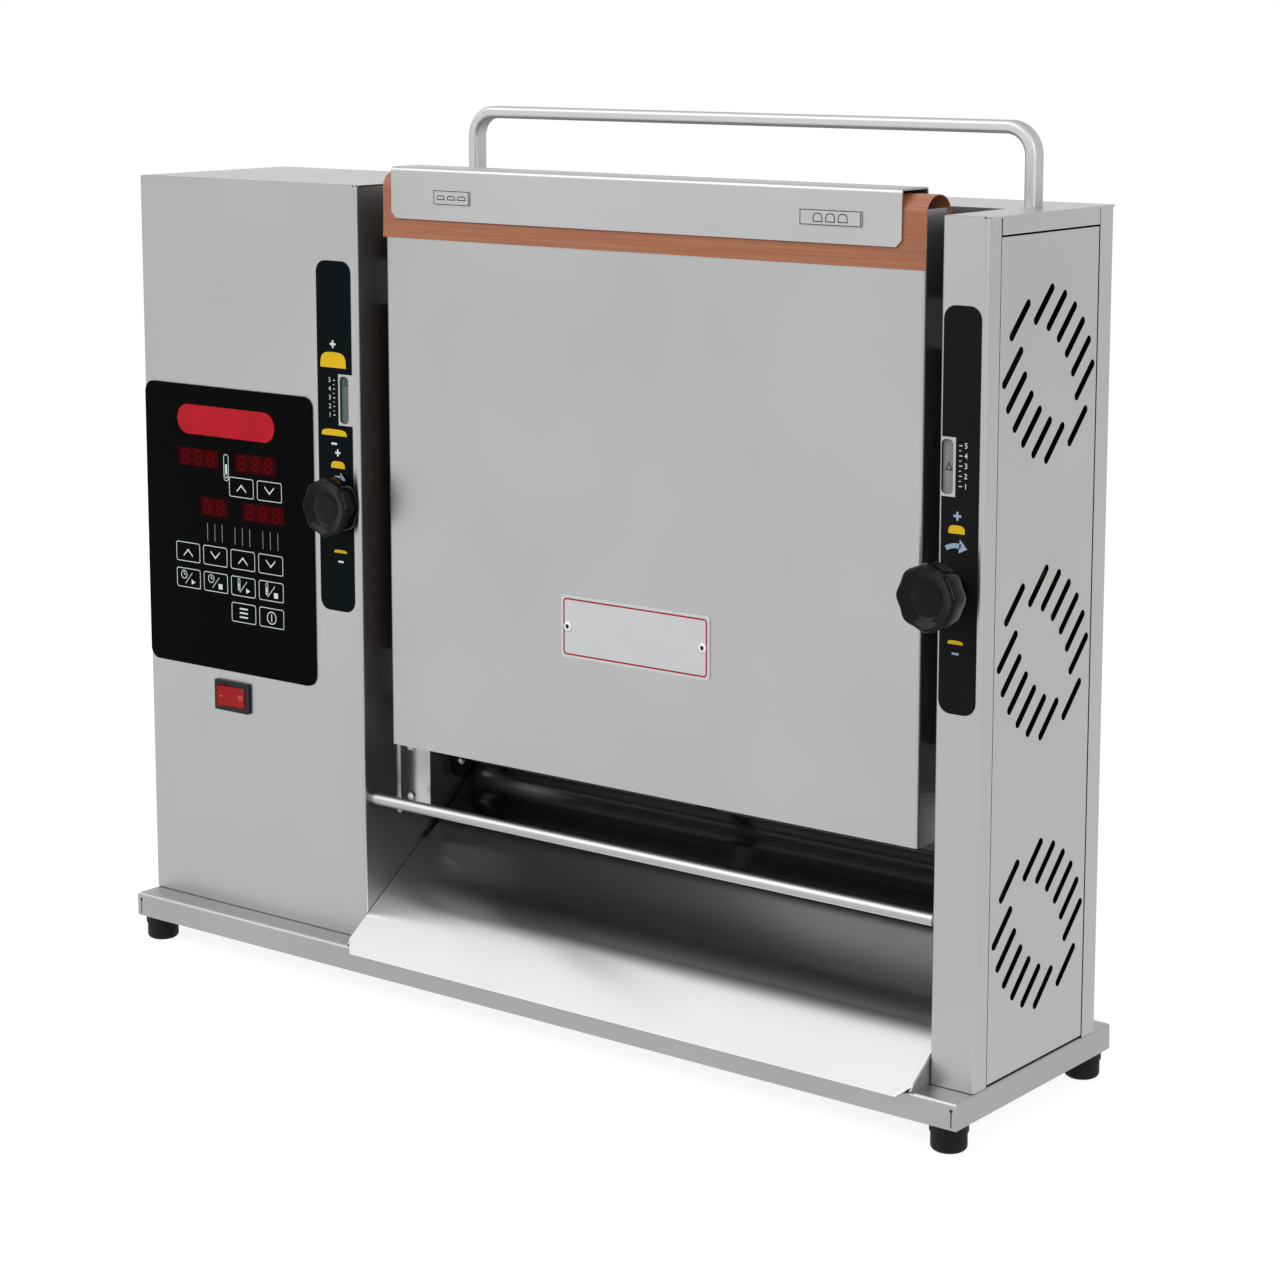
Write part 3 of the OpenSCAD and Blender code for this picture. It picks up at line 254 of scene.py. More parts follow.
def release_cloth():
    """Coated glass cloth: warm brown with raised streaks along X, uneven gloss and a dark toasting side."""
    mat, tree, shader = blank_material("release_cloth")
    streak = noise(tree, 900, (0.012, 1, 1), 4.0)
    weave = noise(tree, 2400, detail=1.0)
    shade = tint(tree, streak, (0.36, 0.128, 0.064), (0.47, 0.18, 0.092))
    shade = stained_or_shaded(tree, shade, TOASTED_CLOTH, 1, 0.6, 0.9)
    tree.links.new(shade, shader.inputs["Base Color"])
    tree.links.new(spread(tree, weave, 0.4, 0.52), shader.inputs["Roughness"])
    shader.inputs["Specular IOR Level"].default_value = 0.35
    bump(tree, shader, streak, 0.12, 0.0003)
    return mat


# Faces inside, which take painted shade by their normal: the axis, and where on it the painted shade starts
# and is full
FACING_RIGHT, FACING_FRONT, FACING_DOWN = (0, 0.8, 0.97), (1, -0.8, -0.97), (2, -0.8, -0.97)
ALL_BUT_RIGHT = (0, 0.6, 0.4)
# The outer 15 mm of the right tower's front stay free of painted shade
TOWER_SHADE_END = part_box("right_tower_front")[1].x - 15 * MM
# Painted shade and reflection on the chute: it darkens from 33 mm behind its front to full at 62 mm, where
# it would mirror the dark inside
CHUTE_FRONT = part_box("chute")[0].y
CHUTE_DEPTHS = (CHUTE_FRONT + 33 * MM, CHUTE_FRONT + 62 * MM)

STEEL, STEEL_ROUGH = grey(0.42), 0.34
HOUSING_STEEL = brushed_metal("housing_steel", STEEL, STEEL_ROUGH, 2)
# Painted shade inside: the left cover's and the right tower's faces seen through the vent slots, the vented
# panel's inner face and slot walls, the rear cover's inside and the platen cover's underside
LEFT_STEEL = brushed_metal("left_cover_steel", STEEL, STEEL_ROUGH, 2, FACING_RIGHT)
TOWER_STEEL = brushed_metal("right_tower_steel", STEEL, STEEL_ROUGH, 2, (*FACING_RIGHT, TOWER_SHADE_END), DEEP_PAINTED_SHADE)
RIGHT_STEEL = brushed_metal("right_panel_steel", STEEL, STEEL_ROUGH, 2, ALL_BUT_RIGHT, DEEP_PAINTED_SHADE)
REAR_STEEL = brushed_metal("rear_steel", STEEL, STEEL_ROUGH, 2, FACING_FRONT)
COVER_STEEL = brushed_metal("platen_cover_steel", STEEL, STEEL_ROUGH, 2, FACING_DOWN)
CROSS_STEEL = brushed_metal("cross_brushed_steel", grey(0.43), 0.4, 0)
BASE_STEEL = brushed_metal("base_steel", grey(0.37), 0.42, 0)
CHEEK_STEEL = brushed_metal("cheek_steel", grey(0.46), 0.5, 2)
HANDLE_STEEL = brushed_metal("handle_steel", grey(0.52), 0.5, 0, edge=0.5)
ROD_STEEL = brushed_metal("rod_steel", STEEL, 0.4, 0)
GUIDE_STEEL = brushed_metal("guide_steel", grey(0.72), 0.3, 2)
# The chute's steel turns darker deeper in: painted shade
CHUTE_STEEL = brushed_metal("chute_steel", (0.86, 0.86, 0.865), 0.2, 1, dark_tone=CHUTE_PAINTED_SHADE,
                            depths=CHUTE_DEPTHS, smear=(1, 0.05, 0.05))
PLATED_STEEL = plain_metal("plated_steel", (0.42, 0.42, 0.43), 0.34)
DARK_STEEL = plain_metal("scaled_steel", grey(0.10), 0.45)
ALUMINIUM = plain_metal("cast_aluminium", (0.50, 0.50, 0.51), 0.42)
PLATEN_METAL = plain_metal("platen_aluminium", (0.13, 0.125, 0.12), 0.5)
SHEATH = plain_metal("heater_sheath", (0.16, 0.15, 0.14), 0.5)
BRASS = plain_metal("gear_brass", (0.62, 0.46, 0.20), 0.3)
BLACK_PLASTIC = plastic("black_plastic", (0.008, 0.008, 0.010), 0.36, 0.06, gloss=0.22)
KNOB_BLACK = plastic("knob_black", (0.0045, 0.0045, 0.0055), 0.17, 0.02, gloss=0.12)
BLACK_RUBBER = plastic("black_rubber", (0.010, 0.010, 0.011), 0.6, 0.15, 900, gloss=0.15)
BELT_RUBBER = plastic("belt_rubber", (0.035, 0.035, 0.036), 0.45, 0.1, 900, gloss=0.4)
BLACK_FILM = plastic("black_film", (0.0012, 0.0013, 0.0016), 0.4, 0.03, gloss=0.02)
LEFT_STRIP_BLACK = plastic("left_strip_black", (0.003, 0.0046, 0.0056), 0.4, 0.03, gloss=0.03)
RIGHT_STRIP_BLACK = plastic("right_strip_black", (0.0115, 0.0115, 0.012), 0.4, 0.03, gloss=0.03)
DISPLAY_RED = plastic("display_red", (0.05, 0.001, 0.0015), 0.4, 0.01, gloss=0.02)
SEGMENT_RED = plastic("segment_red", (0.15, 0.003, 0.005), 0.4, 0.01, gloss=0.02)
ROCKER_RED = plastic("rocker_red", (0.40, 0.006, 0.009), 0.25, 0.03, gloss=0.2)
ROCKER_MARK = plastic("rocker_mark", (0.60, 0.26, 0.26), 0.35, 0.02, gloss=0.2)
BADGE_RED = plastic("badge_red", (0.55, 0.006, 0.018), 0.35, 0.03, gloss=0.15)
LEGEND_WHITE = plastic("legend_white", (0.84, 0.92, 0.90), 0.4, 0.02, gloss=0.2, mottle=0.03)
LEGEND_GREY = plastic("legend_grey", (0.36, 0.39, 0.39), 0.4, 0.02, gloss=0.2)
LEGEND_BLUE = plastic("legend_blue", (0.36, 0.49, 0.62), 0.4, 0.02, gloss=0.2)
BUN_YELLOW = plastic("bun_yellow", (0.87, 0.56, 0.008), 0.4, 0.02, gloss=0.2, mottle=0.03)
PLATE_WHITE = plastic("plate_white", grey(0.76), 0.4, 0.04, gloss=0.3, mottle=0.015)
PLATE_RED = plastic("plate_red", (0.40, 0.009, 0.015), 0.4, 0.04, gloss=0.2)
PICTOGRAM_GREY = plastic("pictogram_grey", grey(0.03), 0.45, 0.03, gloss=0.2)
LEFT_POINTER = plastic("left_pointer_plate", (0.115, 0.165, 0.13), 0.38, 0.04, gloss=0.2)
RIGHT_POINTER = plastic("right_pointer_plate", (0.29, 0.295, 0.29), 0.38, 0.04, gloss=0.2)
BOARD_GREEN = plastic("circuit_board", (0.02, 0.15, 0.06), 0.4)
INSULATION = plastic("insulation", (0.10, 0.095, 0.085), 0.9, 0.3, 500, gloss=0.1)
CLOTH = release_cloth()

NODE_MATERIALS = {
    HOUSING_STEEL: ["top_cover", "left_tower_front"],
    TOWER_STEEL: ["right_tower_front"],
    LEFT_STEEL: ["left_tower_cover"],
    RIGHT_STEEL: ["vented_side_panel"],
    REAR_STEEL: ["rear_cover"],
    COVER_STEEL: ["platen_cover"],
    CROSS_STEEL: ["sheet_clip"],
    BASE_STEEL: ["base_pan"],
    HANDLE_STEEL: ["handle_bar"],
    ROD_STEEL: ["guard_rod"],
    GUIDE_STEEL: ["side_guides", "screws"],
    CHUTE_STEEL: ["chute"],
    PLATED_STEEL: ["motor_bracket", "heel_frame", "crown_frame", "adjuster_brackets", "drive_shaft",
                   "left_screw", "right_screw"],
    DARK_STEEL: ["platen_brackets"],
    ALUMINIUM: ["heel_idler", "crown_idler", "gear_motor"],
    PLATEN_METAL: ["platen"],
    SHEATH: ["heating_elements"],
    BRASS: ["motor_pinion", "drive_gear", "left_nut", "right_nut"],
    BLACK_PLASTIC: ["switch_body", "cable_gland", "shaft_bearings"],
    KNOB_BLACK: ["left_knob", "right_knob"],
    BLACK_RUBBER: ["feet", "drive_rollers"],
    BELT_RUBBER: ["heel_belt", "crown_belt"],
    BLACK_FILM: ["control_overlay"] + [f"key_{i}" for i in range(1, 13)],
    DISPLAY_RED: ["display_modules"],
    ROCKER_RED: ["switch_rocker"],
    LEFT_POINTER: ["left_indicator"],
    RIGHT_POINTER: ["right_indicator"],
    BOARD_GREEN: ["control_board"],
    INSULATION: ["insulation_board"],
    CLOTH: ["release_sheet"],
}
for mat, names in NODE_MATERIALS.items():
    for name in names:
        data = frame["nodes"][name].data
        data.materials.clear()
        data.materials.append(mat)


# Outlines, as lists of points in millimetres


def rounded(x0, z0, x1, z1, r, steps=6):
    """Rectangle with round corners."""
    corners = [(x1 - r, z1 - r, 0), (x0 + r, z1 - r, 90), (x0 + r, z0 + r, 180), (x1 - r, z0 + r, 270)]
    points = []
    for cx, cz, start in corners:
        for i in range(steps + 1):
            a = math.radians(start + 90 * i / steps)
            points.append((cx + r * math.cos(a), cz + r * math.sin(a)))
    return points


def round_spot(x, z, r, steps=32):
    angles = [2 * math.pi * i / steps for i in range(steps)]
    return [(x + r * math.cos(a), z + r * math.sin(a)) for a in angles]


def stroke(x0, z0, x1, z1, w):
    """Straight line of width w."""
    length = math.hypot(x1 - x0, z1 - z0)
    nx, nz = -(z1 - z0) / length * w / 2, (x1 - x0) / length * w / 2
    return [(x0 - nx, z0 - nz), (x1 - nx, z1 - nz), (x1 + nx, z1 + nz), (x0 + nx, z0 + nz)]


def bun(x0, x1, z, h):
    """Half bun: flat below, domed above."""
    steps = 10
    top = []
    for i in range(steps + 1):
        a = math.pi * i / steps
        across = math.copysign(abs(math.cos(a)) ** 0.55, math.cos(a))
        top.append(((x0 + x1) / 2 + (x1 - x0) / 2 * across, z + h * math.sin(a) ** 0.6))
    return top


def ring(outer, inner):
    """An outline with a hole of as many points."""
    return outer, inner


def inset(box, d):
    """A box (x0, z0, x1, z1), smaller by d on each side."""
    x0, z0, x1, z1 = box
    return x0 + d, z0 + d, x1 - d, z1 - d


def framed(box, r, w, inner_r):
    """Line of width w along the inside of a box, with its outer and inner corners' radii."""
    return ring(rounded(*box, r), rounded(*inset(box, w), inner_r))


# Meshes and pieces


def band(mesh, row, after):
    """Faces between two closed rows of as many points."""
    for i in range(len(row)):
        j = (i + 1) % len(row)
        mesh.faces.new((row[i], row[j], after[j], after[i]))


def skin(mesh, rows):
    """Closed surface over closed rows of as many points, with a face over the first and over the last."""
    mesh.faces.new(rows[0])
    mesh.faces.new(rows[-1])
    for row, after in zip(rows, rows[1:]):
        band(mesh, row, after)


def solid(mesh, outline, y0, y1):
    """Adds a closed plate with this outline, or an outline and its hole, between two depths in metres."""
    loops = outline if isinstance(outline, tuple) else (outline,)
    layers = []
    for loop in loops:
        places = [at(x, z) for x, z in loop]
        layers.append([[mesh.verts.new((px, y, pz)) for px, pz in places] for y in (y0, y1)])
    if len(layers) == 1:
        skin(mesh, layers[0])
        return
    outer, inner = layers
    band(mesh, *outer)
    band(mesh, *inner)
    for outer_row, inner_row in zip(outer, inner):
        band(mesh, outer_row, inner_row)


def prism(mesh, outline, x0, x1, far=None):
    """Adds a closed block with this outline of (Y, Z) points between two places along X, all in metres.
    At x1 it may have another outline of as many points."""
    ends = ((x0, outline), (x1, far or outline))
    skin(mesh, [[mesh.verts.new((x, y, z)) for y, z in loop] for x, loop in ends])


def piece(name, mesh, mat, body):
    """Makes a piece from a bmesh, and lets it ride on a body."""
    bmesh.ops.recalc_face_normals(mesh, faces=mesh.faces)
    data = bpy.data.meshes.new(name)
    mesh.to_mesh(data)
    mesh.free()
    data.materials.append(mat)
    obj = bpy.data.objects.new(name, data)
    bpy.context.collection.objects.link(obj)
    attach(obj, body)
    return obj


def smooth(obj, angle):
    """Smooth shading, with edges sharper than the angle in degrees left sharp."""
    for polygon in obj.data.polygons:
        polygon.use_smooth = True
    obj.data.set_sharp_from_angle(angle=math.radians(angle))


def plate(name, outlines, y, t, mat, body="housing"):
    """A piece of flat plates, t thick, that lie in front of the depth y."""
    mesh = bmesh.new()
    for outline in outlines:
        solid(mesh, outline, y - t, y)
    piece(name, mesh, mat, body)


# Control panel

PRINT = 0.08 * MM
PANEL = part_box("control_overlay")[0].y
BADGE = (34.5, 339.5, 130.5, 360.5)
KEY_W, KEY_H, KEY_LINE = 24, 14, 0.5
KEY_COLUMNS = [42.5 + 27.4 * i for i in range(4)]
KEY_ROWS = [305.5, 254.0, 235.1, 216.2]
# Each key's column and row
KEY_PLACES = [(2, 0), (3, 0), (0, 1), (1, 1), (2, 1), (3, 1), (0, 2), (1, 2), (2, 2), (3, 2), (2, 3), (3, 3)]
GUIDE_LOW, GUIDE_HIGH, GUIDE_PITCH, GUIDE_W = 264.5, 277.0, 7.3, 0.45


def chevron(x, z, up):
    """Open arrow head, pointing up (1) or down (-1)."""
    half, tall, w = 4.6, 2.3, 1.1
    tip, foot, low = z + up * tall, z - up * tall, z - up * (tall + w)
    return [[(x - half, foot), (x, tip), (x + half, foot),
             (x + half, low), (x, z + up * (tall - w * 1.3)), (x - half, low)]]


def clock(x, z):
    r = 3.1
    return [ring(round_spot(x, z, r), round_spot(x, z, r - 0.55)),
            stroke(x, z - 0.4, x, z + 2.0, 0.6), stroke(x - 0.2, z, x + 1.5, z, 0.6)]


def thermometer(x, z, h):
    """Tube with a filled bulb, h tall, its middle at (x, z)."""
    r, wall = h * 0.13, 0.45
    tube = framed((x - r, z - h / 2, x + r, z + h / 2), r * 0.98, wall, (r - wall) * 0.98)
    return [tube, stroke(x, z - h * 0.36, x, z + h * 0.12, r * 0.8),
            round_spot(x, z - h * 0.32, r * 0.62, 16)]


def run_mark(x, z):
    return [[(x - 1.7, z - 1.9), (x + 2.1, z), (x - 1.7, z + 1.9)]]


def stop_mark(x, z):
    return [rounded(x - 1.9, z - 1.9, x + 1.9, z + 1.9, 0.2, 2)]


def slash(x, z):
    return [stroke(x - 3.4, z - 4.2, x + 3.6, z + 3.9, 0.5)]


def timed(x, z, mark):
    return clock(x - 4.6, z + 2.2) + slash(x, z) + mark(x + 4.6, z - 2.6)


def heated(x, z, mark):
    return thermometer(x - 4.2, z + 1.2, 9.0) + slash(x, z) + mark(x + 4.6, z - 2.6)


def list_mark(x, z):
    return [stroke(x - 4, z + d, x + 4, z + d, 1.1) for d in (-3, 0, 3)]


def power_mark(x, z):
    r = 4.6
    return [ring(round_spot(x, z, r), round_spot(x, z, r - 0.7)), stroke(x, z - 2.6, x, z + 2.6, 0.8)]


KEY_SYMBOLS = 3 * [partial(chevron, up=1), partial(chevron, up=-1)]
KEY_SYMBOLS += [partial(symbol, mark=mark) for symbol in (timed, heated) for mark in (run_mark, stop_mark)]
KEY_SYMBOLS += [list_mark, power_mark]
for i, (column, row) in enumerate(KEY_PLACES):
    key = f"key_{i + 1}"
    x, z = KEY_COLUMNS[column], KEY_ROWS[row]
    box = (x - KEY_W / 2, z - KEY_H / 2, x + KEY_W / 2, z + KEY_H / 2)
    shapes = [framed(box, 1.8, KEY_LINE, 1.4)] + KEY_SYMBOLS[i](x, z)
    plate(f"{key}_symbol", shapes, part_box(key)[0].y, PRINT, LEGEND_WHITE, key)

plate("panel_badge", [rounded(*BADGE, 10.4, 10)], PANEL, PRINT, BADGE_RED)
plate("panel_thermometer", thermometer(82.5, 318.5, 19), PANEL, PRINT, LEGEND_WHITE)
guide_places = [x + k * GUIDE_PITCH for x in KEY_COLUMNS[1:] for k in (-1, 0, 1)]
guide_lines = [stroke(x, GUIDE_LOW, x, GUIDE_HIGH, GUIDE_W) for x in guide_places]
plate("panel_guide_lines", guide_lines, PANEL, PRINT, LEGEND_GREY)

# Displays: middle across, middle up, number of digits, pitch of the digits
DISPLAYS = [(54.4, 323, 3, 12.6), (110.9, 323, 3, 12.6), (69.2, 289, 2, 12.6), (117.8, 289, 3, 12.9)]
DISPLAY_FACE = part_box("display_modules")[0].y


def digit(x, z):
    """Seven bars of an unlit figure, leaning to the right."""
    w, h, t, lean = 5.6, 9.4, 1.25, 0.12
    gap = t * 0.7
    bars = [(-w / 2 + gap, dz, w / 2 - gap, dz) for dz in (-h / 2, 0, h / 2)]
    for dx in (-w / 2, w / 2):
        bars.append((dx, -h / 2 + gap, dx, -gap))
        bars.append((dx, gap, dx, h / 2 - gap))
    return [[(x + px + pz * lean, z + pz) for px, pz in stroke(*bar, t)] for bar in bars]


figures = []
for x, z, count, pitch in DISPLAYS:
    for k in range(count):
        figures += digit(x + (k - (count - 1) / 2) * pitch, z)
plate("display_figures", figures, DISPLAY_FACE, PRINT, SEGMENT_RED)

# Power switch: marks on the two halves of the rocker

ROCKER_TILT = math.radians(8)
ROCKER_SLOPE = math.atan2(0.9, 7.2)
# The middle of a half's face: beside the rocker's axis, and in front of it
ROCKER_BESIDE, ROCKER_FACE = 8.4 * MM, 4.55 * MM
ROCKER_DEPTH = 1 * MM
switch_low, switch_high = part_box("switch_body")
ROCKER_AXIS = Vector(((switch_low.x + switch_high.x) / 2, FRONT + ROCKER_DEPTH,
                      (switch_low.z + switch_high.z) / 2))


def rocker_mark(name, side, outline):
    """A mark on the left (-1) or right (1) half of the rocker, drawn about that half's middle."""
    mesh = bmesh.new()
    solid(mesh, outline, -PRINT, 0)
    middle = Matrix.Translation((-LEFT, 0, -BASE))
    slope = Matrix.Rotation(-side * ROCKER_SLOPE, 4, "Z")
    face = Matrix.Translation((side * ROCKER_BESIDE, -ROCKER_FACE, 0)) @ slope
    place = Matrix.Translation(ROCKER_AXIS) @ Matrix.Rotation(ROCKER_TILT, 4, "Z") @ face
    bmesh.ops.transform(mesh, matrix=place @ middle, verts=mesh.verts)
    piece(name, mesh, ROCKER_MARK, "rocker")


rocker_mark("rocker_on_mark", -1, stroke(-1.3, 0, 1.3, 0, 0.6))
rocker_mark("rocker_off_mark", 1, ring(round_spot(0, 0, 1.7), round_spot(0, 0, 1.2)))

# Scale strips beside the windows

STRIP_T = 0.25 * MM
STRIP_FACE = FRONT - STRIP_T
STRIP_LOW, STRIP_HIGH, STRIP_R = 229, 469, 8
WINDOW_LOW, WINDOW_HIGH = 357.5, 392.5
SCALE_TOP, SCALE_PITCH, SCALE_FIGURES = 388.0, 5.95, 5
FIGURE_SIZE, TICK_W = 4.6, 0.5
# A sign's line and the gap beside its middle, as shares of its arm
SIGN_LINE, SIGN_GAP = 0.55, 0.28


def notched(x0, x1, cut_x, side):
    """Strip with round corners and a notch for the window in its left (-1) or right (1) edge."""
    points = rounded(x0, STRIP_LOW, x1, STRIP_HIGH, STRIP_R)
    n = len(points) // 4
    edge = x1 if side > 0 else x0
    notch = [(edge, WINDOW_LOW), (cut_x, WINDOW_LOW), (cut_x, WINDOW_HIGH), (edge, WINDOW_HIGH)]
    if side > 0:
        return points + notch
    return points[:2 * n] + notch[::-1] + points[2 * n:]


def minus(x, z, s):
    return [stroke(x - s, z, x + s, z, s * SIGN_LINE)]


def plus(x, z, s):
    gap, line = s * SIGN_GAP, s * SIGN_LINE
    return minus(x, z, s) + [stroke(x, z - s, x, z - gap, line), stroke(x, z + gap, x, z + s, line)]


def turn_arrow(x, z, s):
    """Bent arrow, s long on each side of x, that shows the way to turn a knob."""
    steps = 8
    bend, half = 1.9 * s, 0.2 * s
    arc = [math.radians(122 - 44 * i / steps) for i in range(steps + 1)]
    outer = [(x + (bend + half) * math.cos(a), z - bend + (bend + half) * math.sin(a)) for a in arc]
    inner = [(x + (bend - half) * math.cos(a), z - bend + (bend - half) * math.sin(a)) for a in arc]
    head = [(x + s * 0.3, z + s * 0.55), (x + s, z - s * 0.2), (x + s * 0.2, z - s * 0.6)]
    return [outer + inner[::-1], head]


def number_column(name, x):
    """Figures of a scale, the highest on top."""
    mesh = bmesh.new()
    upright = Matrix.Rotation(math.pi / 2, 4, "X")
    for k in range(SCALE_FIGURES):
        curve = bpy.data.curves.new(name, "FONT")
        curve.body = str(SCALE_FIGURES - k)
        curve.align_x = "CENTER"
        curve.align_y = "CENTER"
        curve.size = FIGURE_SIZE * MM
        curve.extrude = PRINT / 2
        curve.resolution_u = 3
        holder = bpy.data.objects.new(name + "_figure", curve)
        bpy.context.collection.objects.link(holder)
        bpy.context.view_layer.update()
        graph = bpy.context.evaluated_depsgraph_get()
        shape = bpy.data.meshes.new_from_object(holder.evaluated_get(graph))
        px, pz = at(x, SCALE_TOP - k * SCALE_PITCH)
        shape.transform(Matrix.Translation((px, STRIP_FACE - PRINT / 2, pz)) @ upright)
        mesh.from_mesh(shape)
        bpy.data.objects.remove(holder)
        bpy.data.curves.remove(curve)
        bpy.data.meshes.remove(shape)
    bmesh.ops.remove_doubles(mesh, verts=mesh.verts, dist=1e-7)
    piece(name, mesh, LEGEND_WHITE, "housing")


def legend(name, outlines, mat):
    """Print on a scale strip."""
    plate(name, outlines, STRIP_FACE, PRINT, mat)


plate("left_scale_strip", [notched(171.6, 203.4, 190.4, 1)], FRONT, STRIP_T, LEFT_STRIP_BLACK)
plate("right_scale_strip", [notched(671.2, 696.6, 680.6, -1)], FRONT, STRIP_T, RIGHT_STRIP_BLACK)
number_column("left_scale_numbers", 183.0)
number_column("right_scale_numbers", 687.6)
for name, x0, x1 in (("left_scale_ticks", 186.2, 188.0), ("right_scale_ticks", 683.0, 685.2)):
    ticks = []
    for k in range(2 * SCALE_FIGURES - 1):
        z = SCALE_TOP - k * SCALE_PITCH / 2
        ticks.append(stroke(x0, z, x1 if k % 2 == 0 else (x0 + x1) / 2 + 0.2, z, TICK_W))
    legend(name, ticks, LEGEND_WHITE)
legend("left_bun_pictograms", [bun(174.6, 198.4, 396.6, 10.6), bun(174.8, 198.2, 350.2, 4.4),
                               bun(183.2, 196.0, 328.0, 4.8), bun(184.8, 196.8, 269.6, 2.2)], BUN_YELLOW)
legend("right_bun_pictograms", [bun(676.4, 687.6, 336.2, 5.0), bun(677.0, 687.6, 270.8, 2.3)], BUN_YELLOW)
left_signs = plus(186.4, 412.6, 2.6) + minus(186.4, 344.6, 2.6)
left_signs += plus(189.6, 338.6, 2.4) + minus(191.0, 263.6, 2.4)
legend("left_scale_signs", left_signs, LEGEND_WHITE)
legend("right_scale_signs", plus(682.4, 346.6, 2.6) + minus(682.4, 265.2, 2.4), LEGEND_BLUE)
legend("left_turn_arrow", turn_arrow(190.0, 321.6, 6.4), LEGEND_BLUE)
legend("right_turn_arrow", turn_arrow(682.2, 329.2, 7.2), LEGEND_BLUE)


def pointer_mark(name, node, body, x, z):
    """Triangle on a pointer plate, seen through its window."""
    outer = [(x - 2.6, z - 2.4), (x + 2.6, z - 2.4), (x, z + 2.8)]
    inner = [(x - 1.5, z - 1.75), (x + 1.5, z - 1.75), (x, z + 1.25)]
    plate(name, [ring(outer, inner)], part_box(node)[0].y, PRINT, PICTOGRAM_GREY, body)


pointer_mark("left_pointer_mark", "left_indicator", "left_pointer", 196.0, 387.0)
pointer_mark("right_pointer_mark", "right_indicator", "right_pointer", 674.8, 375.0)

# Side panels: their vent slots opened to full width, and a wider seam behind the right one

SLOT_L, SLOT_W = 30.6, 5.3
SLOT_PITCH, SLOT_ROWS = 14.0, 8
RING_A, RING_PITCH, RING_Z = 34.7, 168.0, 256.0
RING_Y = sum(corner.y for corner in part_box("vented_side_panel")) / 2
DIAGONAL = math.sqrt(0.5)
SEAM = 0.8 * MM
# How far the cutters reach: slots to both sides of the panel's face, the seam past the panel's edges
SLOT_REACH, SEAM_REACH = 4 * MM, 1 * MM


def vent_slots():
    """Middles of the slots in three rings, in metres as (Y, Z). All slots rise backwards at 45 degrees."""
    half = (SLOT_ROWS - 1) / 2
    places = []
    for k in (-1, 0, 1):
        for i in range(SLOT_ROWS):
            v = (i - half) * SLOT_PITCH
            u = RING_A * math.sqrt(1 - ((i - half) / half) ** 2)
            for along in (u, -u) if u else (0,):
                y, z = (along - v) * DIAGONAL, (along + v) * DIAGONAL
                places.append((RING_Y + y * MM, BASE + (RING_Z + k * RING_PITCH + z) * MM))
    return places


def opened_panel(name, node, x, seam=None):
    """The node's sheet with full slots cut through its side at x, and cut back behind the depth seam."""
    cutter = bmesh.new()
    shape = rounded(-SLOT_L / 2, -SLOT_W / 2, SLOT_L / 2, SLOT_W / 2, SLOT_W / 2 * 0.99)
    for y, z in vent_slots():
        outline = [(y + (a - b) * DIAGONAL * MM, z + (a + b) * DIAGONAL * MM) for a, b in shape]
        prism(cutter, outline, x - SLOT_REACH, x + SLOT_REACH)
    if seam:
        low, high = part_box(node)
        back, bottom, top = high.y + SEAM_REACH, low.z - SEAM_REACH, high.z + SEAM_REACH
        outline = [(seam, bottom), (back, bottom), (back, top), (seam, top)]
        prism(cutter, outline, low.x - SEAM_REACH, high.x + SEAM_REACH)
    tool = piece(name + "_cutter", cutter, HOUSING_STEEL, "housing")
    source = frame["nodes"][node].data
    sheet = bmesh.new()
    sheet.from_mesh(source)
    bmesh.ops.remove_doubles(sheet, verts=sheet.verts, dist=1e-6)
    obj = piece(name, sheet, source.materials[0], "housing")
    cut = obj.modifiers.new("slots", "BOOLEAN")
    cut.operation = "DIFFERENCE"
    cut.solver = "EXACT"
    cut.object = tool
    bpy.context.view_layer.update()
    data = bpy.data.meshes.new_from_object(obj.evaluated_get(bpy.context.evaluated_depsgraph_get()))
    obj.modifiers.clear()
    obj.data = data
    bpy.data.objects.remove(tool)
    smooth(obj, 30)
    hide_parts(node)


right_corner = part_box("vented_side_panel")[1]
opened_panel("right_vented_panel", "vented_side_panel", right_corner.x, right_corner.y - SEAM)
opened_panel("left_vented_cover", "left_tower_cover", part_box("left_tower_cover")[0].x)

# Knobs: a dished and fluted face round a flat disc, on the plain knobs' hubs

KNOB_LOBES = 8
KNOB_STEPS = 12 * KNOB_LOBES
# Depth of the hollows between the lobes, and of the flutes on the face, which end at this depth
KNOB_LOBE, KNOB_FLUTE, FLUTES_END = 1.0, 0.5, 3
HUB_R, HUB_CHAMFER = 8.5, 0.4
BORE_R, BORE_FLOOR = 4.1, 5.0
# Radius and depth behind the front, with the share of the lobes there
KNOB_FACE = [(5.5, 2.6, 0), (10.8, 2.6, 0), (11.2, 2.75, 0), (11.5, 2.75, 0), (11.8, 2.5, 0),
             (13.2, 2.2, 0.2), (15.2, 1.45, 0.6), (17.0, 0.55, 0.9), (17.8, 0.12, 1), (18.4, 0, 1),
             (19.0, 0.16, 1), (19.7, 0.75, 1), (20.2, 1.7, 1), (20.5, 3.2, 1), (20.5, 8.0, 1),
             (20.4, 11.4, 1), (19.9, 13.2, 1), (18.9, 14.6, 0.9), (17.4, 15.6, 0.8), (15.5, 16.0, 0.5),
             (HUB_R, 16.0, 0)]


